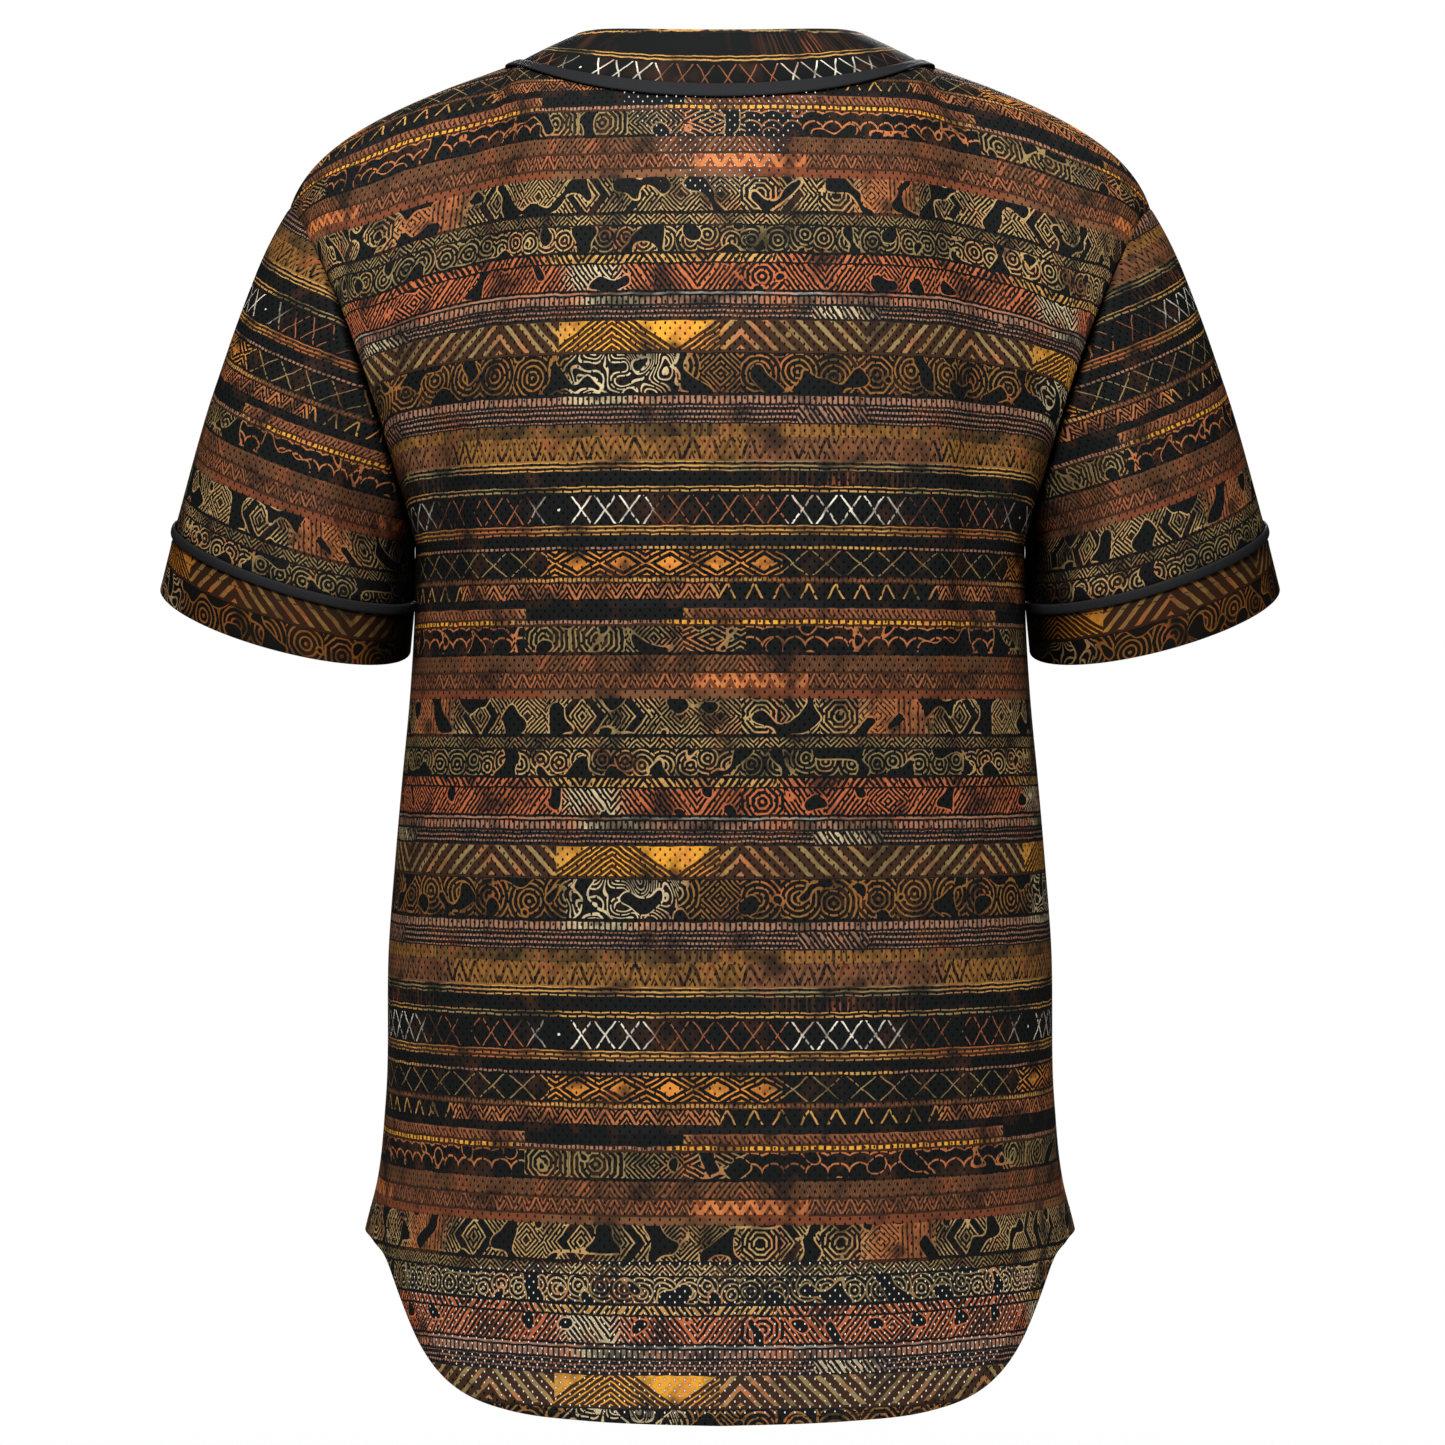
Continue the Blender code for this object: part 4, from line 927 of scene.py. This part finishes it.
def printed_cloth(name, print_tree, holes, tone=WHITE):
    """Polyester cloth with the print on its outer side and an inside painted near black as shade. tone
    multiplies the colour, and for the cuffs it is painted shade.
    """
    material, tree = new_material(name)
    u, v = cloth_map(tree)
    printed = linked(tree, "ShaderNodeGroup", {0: u, 1: v * -1}, node_tree=print_tree)
    back = tree.nodes.new("ShaderNodeNewGeometry").outputs["Backfacing"]
    colour = colour_mix(tree, 1.0, printed.outputs[0], tone, "MULTIPLY")
    knit = (u * (2 * math.pi / KNIT_PITCH)).sine() * (v * (2 * math.pi / KNIT_ROW)).sine()
    height, clear = knit * KNIT_HEIGHT, None
    if holes:
        distance = hole_distance(u, v)
        # Painted shade: the holes are near black out to their edge, around their clear middle
        colour = colour_mix(tree, distance < 1.0, colour, HOLE_PAINTED_SHADE)
        height = height + distance.least(2.0)
        clear = (distance < HOLE_OPEN) * (Term(tree, back) < 0.5) * HOLE_CLEAR
    # Painted shade: the cloth's inside is near black
    colour = colour_mix(tree, back, colour, INSIDE_PAINTED_SHADE)
    # Painted shade: the colour darkens in folds, seams and between sleeve and body
    colour = colour_mix(tree, 1.0, colour, painted_crevice_shade(tree), "MULTIPLY")
    surface(tree, colour, *CLOTH_LOOK, height, clear)
    return material


def piping_tape():
    """Plain dark knitted tape, with a fine rib along the map's u."""
    material, tree = new_material("piping_tape")
    u, v = cloth_map(tree)
    rib = (u * (2 * math.pi / TAPE_PITCH)).sine() + (v * (2 * math.pi / TAPE_PITCH)).sine() * 0.5
    speckle = noise(tree, joined(tree, u, v), *SPECKLE_NOISE)["Fac"]
    shades = (shaded(PIPING_COLOUR, factor) for factor in SPECKLE_RANGE)
    surface(tree, colour_mix(tree, speckle, *shades), *TAPE_LOOK, rib)
    return material


def thread():
    material, tree = new_material("dark_thread")
    place = tree.nodes.new("ShaderNodeTexCoord").outputs["Object"]
    twist = noise(tree, place, *TWIST_NOISE)["Fac"]
    surface(tree, colour_mix(tree, twist, THREAD_SHADE, THREAD_COLOUR), *THREAD_LOOK, twist)
    return material


def button_plastic():
    """Moulded resin with a faint cloudy grain and a soft gloss."""
    material, tree = new_material("button_resin")
    place = tree.nodes.new("ShaderNodeTexCoord").outputs["Object"]
    cloud = noise(tree, place, *CLOUD_NOISE)["Fac"]
    shade = colour_mix(tree, cloud, BUTTON_COLOUR, shaded(BUTTON_COLOUR, CLOUD_LIGHTER))
    grain = Term(tree, noise(tree, place, *SPECKLE_NOISE)["Fac"])
    surface(tree, shade, grain * BUTTON_ROUGH + BUTTON_ROUGH)
    return material


def pale_floor():
    material, tree = new_material("pale_floor")
    x, y, _ = parts_of(tree, tree.nodes.new("ShaderNodeTexCoord").outputs["Object"])
    fade = ((x * x + y * y).root() / FLOOR_RADIUS - FLOOR_FADE) / (1 - FLOOR_FADE)
    surface(tree, FLOOR_COLOUR, *FLOOR_LOOK, clear=fade.between(0.0, 1.0), glow=FLOOR_GLOW)
    return material


def placed(name, data):
    """A new object in the scene."""
    obj = bpy.data.objects.new(name, data)
    bpy.context.scene.collection.objects.link(obj)
    return obj


def grid_piece(node, slot, points, cloth, normals, looks, wrap=False):
    """A node's piece, from a grid of points with its map. It faces the way that normals point."""
    rows, columns = points.shape[:2]
    last = columns if wrap else columns - 1
    row, column = (index.ravel() for index in np.indices((rows - 1, last)))
    corners = [(row, column), (row, column + 1), (row + 1, column + 1), (row + 1, column)]
    faces = np.stack([a * columns + b % columns for a, b in corners], axis=1)
    maps = np.stack([cloth[a, b] for a, b in corners], axis=1)
    flat = points.reshape(-1, 3)
    facing = np.cross(flat[faces[:, 1]] - flat[faces[:, 0]], flat[faces[:, 3]] - flat[faces[:, 0]])
    if (facing * normals.reshape(-1, 3)[faces[:, 0]]).sum() < 0:
        faces, maps = faces[:, ::-1], maps[:, ::-1]
    name = f"{node}_{PIECE_WORDS[slot]}"
    mesh = bpy.data.meshes.new(name)
    mesh.from_pydata(flat.tolist(), [], faces.tolist())
    layer = mesh.uv_layers.new(name="cloth")
    layer.data.foreach_set("uv", maps.reshape(-1).astype(np.float32))
    finished(name, mesh, looks[slot], node)


def finished(name, mesh, material, node=None):
    """Makes a mesh a piece of the jersey, in the place of the node that is named."""
    mesh.materials.append(material)
    mesh.shade_smooth()
    piece = placed(name, mesh)
    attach(piece, "root")
    if node is not None:
        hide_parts(node)


def seam_puff(distance, height=SEAM_PUFF, place=SEAM_PUFF_AT):
    """The soft swell of the cloth beside a sewn seam, a short way from it."""
    share = np.clip(distance / place, 0, None)
    return height * share**1.5 * np.exp(1.5 - 1.5 * share)


def groove(distance, depth=SEAM_GROOVE, reach=SEAM_GROOVE_AT):
    """How deep a sewn seam draws the cloth in."""
    return depth * np.exp(-((distance / reach) ** 2))


def armhole_groove(distance, low):
    depth, reach = (upper + (lower - upper) * low for upper, lower in (ARMHOLE_GROOVE, ARMHOLE_GROOVE_AT))
    return groove(distance, depth, reach)


def to_armhole_edge(points):
    """From the armhole's middle to points of one side of the jersey. Seams sink against it."""
    side = np.sign(points[..., :1])
    return unit(points - ARMHOLE_MIDDLE * np.concatenate([side, side**2, side**2], axis=-1))


def closer_to_ends(start, count):
    """Shares from start to 1 that lie closer together towards 1 and, where start is -1, also towards -1."""
    first = -(1 - (1 - abs(start)) ** (1 / EDGE_POWER))
    even = np.linspace(first, 1, count)
    return np.sign(even) * (1 - (1 - np.abs(even)) ** EDGE_POWER)


def armhole_part(levels):
    """The armhole's lower part, where sleeve and body fold against each other."""
    return np.clip(levels * LOW_PART_RISE, 0, 1) * np.clip((LOW_PART_END - levels) * LOW_PART_FALL, 0, 1)


def eased(points, shares, levels):
    """Rounds off the crease that the neck point's corner leaves down a panel."""
    weights = np.exp(-(((shares[:, None] - shares[None, :]) / EASE_SHARE) ** 2)) * np.gradient(shares)
    weights /= weights.sum(axis=1, keepdims=True)
    blurred = np.einsum("ij,rjk->rik", weights, points)
    near = smooth_step(1 - np.abs(np.abs(shares) - NECK_SHARE) / EASE_REACH)
    below = smooth_step((1 - levels) / EASE_LEVEL)[:, None]
    return points + (blurred - points) * (near * below)[..., None]


def print_height(points, down, shares):
    """The map's v: height along the middle column, and as much cloth above the waist in each other one."""
    middle, z = int(np.argmin(np.abs(shares))), points[..., 2]
    columns = zip(z.T, down.T)
    waist = np.array([np.interp(-TILE_START_Z, -heights, run) for heights, run in columns])
    line_down, line_z = down[:, middle] - waist[middle], z[:, middle]
    line_down = np.concatenate([[line_down[0] - 1], line_down, [line_down[-1] + 1]])
    line_z = np.concatenate([[line_z[0] + 1], line_z, [line_z[-1] - 1]])
    height = (np.interp(down - waist, line_down, line_z) - TILE_START_Z) / TILE_STRETCH
    out = smooth_table(DROOP, DROOP_COLUMNS, "share", "droop", np.abs(shares))
    return height + out * smooth_table(DROOP_HEIGHT, DROOP_HEIGHT_COLUMNS, "z", "part", z)


def panel_grid(shares, side):
    """Points, normals and map of a body panel's outer side, from the top edge to the hem."""
    levels = np.concatenate(
        [np.linspace(1, 0, PANEL_RISE_ROWS + 1), -np.linspace(0, 1, PANEL_DROP_ROWS + 1)[1:]]
    )
    plain = eased(panel_point(shares[None, :], levels[:, None], side), shares, levels)
    down = lengths_along(plain, 0)
    across = lengths_along(plain, 1)
    middle = np.array([np.interp(0.0, shares, across[row]) for row in range(len(levels))])
    u = -side * (across - middle[:, None])
    v = print_height(plain, down, shares)
    fade = np.clip((1 - np.abs(shares)) / SIDE_FADE, 0, 1) * np.clip((1 - levels) / TOP_FADE, 0, 1)[:, None]
    lift = fold_height(plain, side) * fade
    sunk = np.zeros(plain.shape)
    above = np.clip(levels * ARMPIT_TO_HOLE, 0, 1)[:, None]
    normals = panel_normals(plain, side)
    for edge in (0, -1):
        if abs(shares[edge]) > 1 - 1e-9:
            gap = np.abs(across - across[:, edge][:, None])
            lift += seam_puff(gap) * (1 - above)
            lift += seam_puff(gap, ARMHOLE_PUFF / 2, ARMHOLE_PUFF_AT) * armhole_part(levels)[:, None]
            sunk -= normals * (groove(gap) * (1 - above))[..., None]
            depth = armhole_groove(gap, armhole_part(levels)[:, None]) * above
            sunk -= to_armhole_edge(plain) * depth[..., None]
    from_neck, from_hole = SHOULDER_SEAM_FADES
    sewn = np.clip((np.abs(shares) - NECK_SHARE) / from_neck, 0, 1)
    sewn = sewn * np.clip((1 - np.abs(shares)) / from_hole, 0, 1)
    lift += seam_puff(down) * sewn
    sunk[..., 2] -= groove(down) * sewn
    points = plain + normals * lift[..., None] + sunk
    return points, panel_normals(points, side), np.stack([u, v], axis=-1)


def hem_depth(cloth, width):
    """How far up each column the turned hem reaches, so that its depth across the edge is even."""
    slope = np.gradient(cloth[-1, :, 1], cloth[-1, :, 0])
    return width * np.sqrt(1 + slope**2)


def line_above(points, normals, reach):
    """A line on a grid's surface, so far up from its last row in each column, and the normals there."""
    up = lengths_along(points[::-1], 0)
    reach = np.broadcast_to(reach, points.shape[1])
    both = np.concatenate([points, normals], axis=-1)[::-1]
    read = np.array([
        [np.interp(reach[column], up[:, column], both[:, column, k]) for k in range(6)]
        for column in range(points.shape[1])
    ])
    return read[:, :3], unit(read[:, 3:])


def turned_hem(points, normals, depth):
    """Points and normals with a hem that is turned to the inside and reaches up by depth."""
    down = unit(points[-1] - points[-2])
    rows, facings = [points], [normals]
    for step in range(1, HEM_TURN_ROWS + 1):
        turn = math.pi * step / HEM_TURN_ROWS
        bend = down * math.sin(turn) - normals[-1] * (1 - math.cos(turn))
        rows.append((points[-1] + bend * CLOTH_HALF)[None])
        facings.append(unit(down * math.sin(turn) + normals[-1] * math.cos(turn))[None])
    for step in range(1, HEM_INSIDE_ROWS + 1):
        inner, facing = line_above(points, normals, depth * step / HEM_INSIDE_ROWS)
        rows.append((inner - facing * CLOTH_HALF * 2)[None])
        facings.append(-facing[None])
    return np.concatenate(rows), np.concatenate(facings)


def turned_map(cloth, depth):
    """The map of a grid with such a hem. A tube's map has one more column than its points."""
    bend = CLOTH_HALF * math.pi
    reaches = [bend * step / HEM_TURN_ROWS for step in range(1, HEM_TURN_ROWS + 1)]
    reaches += [bend + depth * step / HEM_INSIDE_ROWS for step in range(1, HEM_INSIDE_ROWS + 1)]
    rows = [cloth]
    for reach in reaches:
        reach = np.broadcast_to(reach, cloth.shape[1])
        rows.append((cloth[-1] - np.stack([reach * 0, reach], axis=-1))[None])
    return np.concatenate(rows)


def hemmed_piece(node, slot, points, normals, cloth, depth, looks, wrap=False):
    """A node's piece, whose last row is turned to the inside."""
    rows, facings = turned_hem(points, normals, depth)
    grid_piece(node, slot, rows, turned_map(cloth, depth), facings, looks, wrap)


def stitch_row(line, facing):
    """The middle, the direction and the normal of each stitch along a line."""
    run = lengths_along(line[:, None], 0)[:, 0]
    count = int(run[-1] / STITCH_PITCH)
    at = (np.arange(count) + 0.5) * run[-1] / count

    def read(values, place):
        return np.stack([np.interp(place, run, values[:, k]) for k in range(3)], axis=-1)

    start, end = read(line, at - STITCH_LENGTH / 2), read(line, at + STITCH_LENGTH / 2)
    return (start + end) / 2, unit(end - start), unit(read(facing, at))


def stack_faces(first, rings, sides):
    """The faces round a stack of rings of points, with a cap at each end."""
    faces = []
    for at in range(first, first + (rings - 1) * sides, sides):
        for k in range(sides):
            after = (k + 1) % sides
            faces.append((at + k, at + after, at + sides + after, at + sides + k))
    faces.append(tuple(range(first + sides - 1, first - 1, -1)))
    faces.append(tuple(range(first + (rings - 1) * sides, first + rings * sides)))
    return faces


def stitches(name, rows, looks, length=STITCH_LENGTH):
    """One piece of many stitches, each a short flat bead of thread that sinks in at its ends."""
    middle, along, up = (np.concatenate(part)[:, None, None] for part in zip(*rows))
    across = np.cross(up, along)
    turn = np.linspace(0, 2 * math.pi, STITCH_SIDES, endpoint=False)[None, None, :, None]
    place, size = (np.array(column)[None, :, None, None] for column in zip(*STITCH_RINGS))
    points = middle + along * place * length / 2 + up * STITCH_LIFT * size
    points = points + (across * np.cos(turn) * STITCH_HALF_WIDTH + up * np.sin(turn) * STITCH_RISE) * size
    count, rings, sides = points.shape[:3]
    faces = []
    for number in range(count):
        faces += stack_faces(number * rings * sides, rings, sides)
    mesh = bpy.data.meshes.new(name)
    mesh.from_pydata(points.reshape(-1, 3).tolist(), [], faces)
    finished(name, mesh, looks["thread"])


def panel(node, shares, side, looks, sunk=False):
    """A body panel with its stitched hem. The under side of the button front is sunk."""
    points, normals, cloth = panel_grid(shares, side)
    if sunk:
        points = points - normals * lap_sink(points)[..., None]
    corner = smooth_step((np.abs(shares) - HEM_CORNER_FROM) / HEM_CORNER_OVER)
    depth = hem_depth(cloth, HEM_MIDDLE + (HEM_CORNER - HEM_MIDDLE) * corner)
    hemmed_piece(node, "mesh_cloth", points, normals, cloth, depth, looks)
    row = stitch_row(*line_above(points, normals, depth - STITCH_INSET))
    stitches(f"{node}_hem_stitches", [row], looks)


def body(looks):
    lap = share_at(LAP_HALF)
    whole = closer_to_ends(-1, PANEL_COLUMNS + 1)
    part = closer_to_ends(-lap, int(PANEL_COLUMNS * (1 + lap) / 2))
    panel("back", whole, 1, looks)
    panel("front_left", part, -1, looks)
    panel("front_right", -part[::-1], -1, looks, True)


def sleeve_grid(hand):
    """Points, normals and map of a sleeve's mesh tube."""
    along = np.linspace(0, 1, SLEEVE_ROWS + 1) ** EDGE_POWER
    plain = sleeve_point(along)
    turn = np.linspace(0, 2 * math.pi, 2 * SLEEVE_COLUMNS, endpoint=False)
    down = lengths_along(plain, 0)
    low = armhole_part(np.minimum(turn, 2 * math.pi - turn) / math.pi)
    height = sleeve_fold_height(turn, along[:, None]) + seam_puff(down, ARMHOLE_PUFF, ARMHOLE_PUFF_AT) * low
    points = plain + tube_normals(plain) * height[..., None]
    points -= to_armhole_edge(plain) * armhole_groove(down, low)[..., None]
    cloth = np.stack(
        [lengths_along(closed(plain), 1) * hand, closed(down[-1] - down) - SLEEVE_PRINT_END], axis=-1
    )
    return mirrored(points, hand), mirrored(tube_normals(points), hand), cloth


def cuff_grid(hand):
    """Points, normals and map of a cuff."""
    share = np.linspace(0, 1, CUFF_ROWS + 1)[:, None, None]
    join, end = (sleeve_ring(ring, SLEEVE_COLUMNS) for ring in (CUFF_JOIN, SLEEVE_END))
    points = join * (1 - share) + end * share
    across, drop = lengths_along(closed(points), 1), closed(lengths_along(points, 0))
    cloth = np.stack([across * hand, -drop - CUFF_PRINT_START], axis=-1)
    return mirrored(points, hand), mirrored(tube_normals(points), hand), cloth


def sleeve(hand, word, looks):
    """One sleeve: the mesh tube, its plain cuff and the piping over their seam."""
    tube, tube_facing, cloth = sleeve_grid(hand)
    grid_piece(f"sleeve_{word}", "mesh_cloth", tube, cloth, tube_facing, looks, True)
    cuff, facing, cloth = cuff_grid(hand)
    # The cuffs wear a copy of the printed cloth darkened as painted shade
    cuff_looks = {**looks, "band_cloth": looks["cuff"]}
    hemmed_piece(f"cuff_{word}", "band_cloth", cuff, facing, cloth, CUFF_INSIDE, cuff_looks, True)
    ways = (unit(tube[-2] - tube[-1]), unit(cuff[-1] - cuff[0]))
    rings = piping_rings(cuff[0], *ways, unit(tube_facing[-1] + facing[0]), SLEEVE_PIPING_HALF)
    piping(f"cuff_piping_{word}", rings, looks, True)
    cuff, facing = closed(cuff), closed(facing)
    reach = lengths_along(cuff, 0)[-1].mean() - SLEEVE_PIPING_HALF - STITCH_INSET
    stitches(f"cuff_{word}_stitches", [stitch_row(*line_above(cuff, facing, reach))], looks)


def piping_rings(join, to_one_side, to_other_side, normals, half_width):
    """Rings of a flat tube that lies over a seam: a rounded top and a flat back."""
    rings = []
    for turn in np.linspace(0, 2 * math.pi, PIPING_SIDES, endpoint=False):
        across, rise = math.cos(turn), math.sin(turn)
        direction = to_one_side if across < 0 else to_other_side
        if rise < 0:
            lift = PIPING_EDGE * (1 + rise)
        else:
            lift = (1 - PIPING_EDGE) * rise**PIPING_ROUND + PIPING_EDGE
        lift = SEAM_GAP * 2 + PIPING_RISE * lift
        rings.append(join + direction * abs(across) * half_width + normals * lift)
    return np.stack(rings, axis=1)


def piping(node, points, looks, ring=False):
    """A piping's tube. points holds a ring of points for each step along the seam."""
    if ring:
        points = np.concatenate([points, points[:1]])
    middle = points.mean(axis=1, keepdims=True)
    round_it = lengths_along(closed(points), 1)
    cloth = np.stack([np.broadcast_to(lengths_along(middle, 0), round_it.shape), round_it], axis=-1)
    grid_piece(node, "piping", points, cloth, points - middle, looks, True)


def neckband(looks):
    """The band that stands inside the neck seam, folded over at its free edge."""
    turn = np.linspace(-math.pi - LAP_TURN, math.pi + LAP_TURN, BAND_COLUMNS + 1)
    seam, edge, _, _, normal = neck_frame(turn)
    share = np.linspace(0, 1, BAND_ROWS + 1)[:, None, None]
    grid = seam * (1 - share) + edge * share + normal * BAND_CROWN * np.sin(share * math.pi)
    under_side = turn < -math.pi * 3 / 4
    grid = grid - normal * np.where(under_side, lap_sink(grid), 0)[..., None]
    normals = normals_of(grid)
    if (normals * normal).sum() < 0:
        normals = -normals
    run = lengths_along(seam[None], 1)[0]
    rise = lengths_along(grid, 0)
    printed = np.minimum(rise, NECK_STRETCH_AT + (rise - NECK_STRETCH_AT) * NECK_STRETCH)
    u = np.broadcast_to(np.interp(0.0, turn, run) - run, rise.shape)
    cloth = np.stack([u, printed - NECK_PRINT_END], axis=-1)
    hemmed_piece("neckband", "band_cloth", grid, normals, cloth, rise[-1] * BAND_INSIDE, looks)
    stitches("neckband_stitches", [stitch_row(*line_above(grid, normals, STITCH_INSET))], looks)


def neck_piping(looks):
    """The piping over the neck seam. Its under end stops at the upper front's edge."""
    start = math.asin((LAP_HALF + SEAM_GAP * 4) / NECK_POINT[0]) - math.pi
    seam, _, to_body, to_band, normal = neck_frame(np.linspace(start, math.pi + LAP_TURN, PIPING_STEPS + 1))
    piping("neck_piping", piping_rings(seam, to_band, to_body, normal, NECK_PIPING_HALF), looks)


def placket(looks):
    """The strip down the upper front's edge. Its edges and ends turn down to the front."""
    lap = share_at(LAP_HALF)
    top = np.linspace(1 - PLACKET_TOP, 0, PLACKET_ROWS // 2)
    bottom = np.linspace(0, -PLACKET_END, PLACKET_ROWS // 2 + 1)[1:]
    levels = np.concatenate([top, bottom])
    shares = np.linspace(-lap, lap, PLACKET_COLUMNS + 1)
    grid = panel_point(shares[None, :], levels[:, None], -1)
    normals = panel_normals(grid, -1)
    down, across = lengths_along(grid, 0), lengths_along(grid, 1)
    to_edges = (across, across[:, -1:] - across, down, down[-1:] - down)
    inset = np.minimum.reduce(to_edges)
    lift = SEAM_GAP * 1.5 + PLACKET_WALL * np.clip(inset / PLACKET_WALL, 0, 1) ** 0.5
    points = grid + normals * lift[..., None]
    points[..., 1] -= SEAM_GAP / 2
    cloth = np.stack([across - LAP_HALF, print_height(grid, down, shares)], axis=-1)
    grid_piece("placket", "band_cloth", points, cloth, normals, looks)
    rows = []
    for way in (1, -1):
        turned, facing = (values[:, ::way].swapaxes(0, 1) for values in (points, normals))
        rows.append(stitch_row(*line_above(turned, facing, STITCH_INSET)))
    stitches("placket_stitches", rows, looks)


def button_mesh(name):
    """A turned button with a dished face and a rounded rim. Its back lies on z = 0."""
    turn = np.linspace(0, 2 * math.pi, BUTTON_STEPS, endpoint=False)
    radius, rise = (np.array(column)[:, None] for column in zip(*BUTTON_PROFILE))
    width = radius * BUTTON_RADIUS
    points = np.stack([width * np.cos(turn), width * np.sin(turn), rise * BUTTON_THICK + turn * 0], axis=-1)
    mesh = bpy.data.meshes.new(name)
    mesh.from_pydata(points.reshape(-1, 3).tolist(), [], stack_faces(0, len(BUTTON_PROFILE), BUTTON_STEPS))
    return mesh


def drilled(mesh):
    """Cuts the four sewing holes through a button."""
    drills = bmesh.new()
    for x in (-1, 1):
        for y in (-1, 1):
            place = Matrix.Translation((x * BUTTON_HOLE_AT, y * BUTTON_HOLE_AT, BUTTON_THICK / 2))
            bmesh.ops.create_cone(
                drills, cap_ends=True, segments=16, radius1=BUTTON_HOLE, radius2=BUTTON_HOLE,
                depth=BUTTON_THICK * 3, matrix=place,
            )
    drill_mesh = bpy.data.meshes.new("button_drills")
    drills.to_mesh(drill_mesh)
    drills.free()
    whole, drill = placed("button_blank", mesh), placed("button_drills", drill_mesh)
    cut = whole.modifiers.new("holes", "BOOLEAN")
    cut.operation, cut.object, cut.solver = "DIFFERENCE", drill, "EXACT"
    result = bpy.data.meshes.new_from_object(whole.evaluated_get(bpy.context.evaluated_depsgraph_get()))
    for obj in (whole, drill):
        bpy.data.objects.remove(obj)
    return result


def button_seats():
    """For each button: the point of the placket it sits on, the way out of the cloth and the way down."""
    levels = np.linspace(1, -1, 400)
    middle_line = panel_point(np.zeros(len(levels)), levels, -1)[:, 2]
    heights = BUTTON_TOP - BUTTON_STEP * np.arange(BUTTON_COUNT)
    seats = []
    for level in np.interp(-heights, -middle_line, levels):
        near = panel_point(np.zeros(3), level + np.array([0.01, 0.0, -0.01]), -1)
        down = unit(near[2] - near[0])
        out = np.array([0.0, down[2], -down[1]])
        seats.append((near[1] + out * (SEAM_GAP * 3 + PLACKET_WALL), out, down))
    return seats


def thread_bars(seat, out, down):
    """Two bars of thread over each button's face, between its holes, as stitch rows."""
    side = np.cross(down, out)
    middle = [seat + out * BUTTON_FACE + side * x * BUTTON_HOLE_AT for x in (-1, 1)]
    return np.array(middle), np.array([down, down]), np.array([out, out])


def buttonhole(seat, out, down):
    """The close stitches round a buttonhole, which lies along the placket under its button."""
    side = np.cross(down, out)
    middles, alongs = [], []
    for k in range(BUTTONHOLE_STITCHES):
        turn = 2 * math.pi * k / BUTTONHOLE_STITCHES
        reach = math.copysign(abs(math.cos(turn)) ** 0.5, math.cos(turn))
        way = unit(side * math.sin(turn) + down * math.cos(turn) ** 3)
        straight = down * (BUTTONHOLE_HALF - BUTTONHOLE_RIM) * reach
        middles.append(seat - out * SEAM_GAP * 2 + straight + way * BUTTONHOLE_RIM)
        alongs.append(way)
    middles, alongs = np.array(middles), np.array(alongs)
    return middles, alongs, np.broadcast_to(out, middles.shape)


def buttons(looks):
    """The buttons, the thread that holds them and the buttonholes that they pass."""
    seats = button_seats()
    for number, (seat, out, down) in enumerate(seats, 1):
        name = f"button_{number}_{PIECE_WORDS['button']}"
        mesh = drilled(button_mesh(name))
        mesh.name = name
        corners = np.empty(len(mesh.vertices) * 3)
        mesh.vertices.foreach_get("co", corners)
        turned = corners.reshape(-1, 3) @ np.stack([np.cross(down, out), -down, out])
        mesh.vertices.foreach_set("co", (seat + turned).reshape(-1))
        finished(name, mesh, looks["button"], f"button_{number}")
        mesh.set_sharp_from_angle(angle=math.radians(40))
    bars = [thread_bars(*seat) for seat in seats]
    stitches("button_threads", bars, looks, length=BUTTON_HOLE_AT * 2 + BUTTON_HOLE)
    holes = [buttonhole(*seat) for seat in seats]
    stitches("buttonhole_stitches", holes, looks, length=BUTTONHOLE_RIM * 1.5)


def stage(material):
    """A wide pale floor."""
    turns = np.linspace(0, 2 * math.pi, 96, endpoint=False)
    mesh = bpy.data.meshes.new("floor")
    edge = [(FLOOR_RADIUS * math.cos(turn), FLOOR_RADIUS * math.sin(turn), FLOOR_Z) for turn in turns]
    mesh.from_pydata(edge, [], [tuple(range(len(edge)))])
    mesh.materials.append(material)
    placed("floor", mesh)


def lights():
    """Soft lights round the jersey, and an even sky that the camera sees as white."""
    aim = placed("lights_aim", None)
    aim.location = LIGHTS_AIM
    for name, place, size, power in LIGHTS:
        data = bpy.data.lights.new(name, "AREA")
        data.shape, data.size, data.energy = "DISK", size, power
        lamp = placed(name, data)
        lamp.location = place
        track = lamp.constraints.new("TRACK_TO")
        track.target, track.track_axis, track.up_axis = aim, "TRACK_NEGATIVE_Z", "UP_Y"
    world = bpy.data.worlds.new("studio")
    world.use_nodes = True
    bpy.context.scene.world = world
    tree = world.node_tree
    seen = Term(tree, tree.nodes.new("ShaderNodeLightPath").outputs["Is Camera Ray"])
    sky = tree.nodes["Background"]
    put(tree, WHITE, sky.inputs["Color"])
    put(tree, seen * (SKY_SEEN - SKY_LIGHT) + SKY_LIGHT, sky.inputs["Strength"])


def camera():
    data = bpy.data.cameras.new("camera")
    data.lens, data.sensor_width = LENS, SENSOR
    data.clip_start, data.clip_end = 0.05, 60.0
    eye = placed("camera", data)
    eye.location, eye.rotation_euler = CAMERA_PLACE, CAMERA_TURN
    bpy.context.scene.camera = eye


camera()
lights()
stage(pale_floor())
bpy.context.scene.view_settings.view_transform = "Standard"
print_tree = print_group()
looks = {
    "mesh_cloth": printed_cloth("printed_mesh", print_tree, True),
    "band_cloth": printed_cloth("printed_band", print_tree, False),
    "cuff": printed_cloth("printed_cuff_painted_shade", print_tree, False, CUFF_PAINTED_SHADE),
    "piping": piping_tape(),
    "thread": thread(),
    "button": button_plastic(),
}
body(looks)
for hand, word in ((1.0, "left"), (-1.0, "right")):
    sleeve(hand, word, looks)
neckband(looks)
neck_piping(looks)
placket(looks)
buttons(looks)
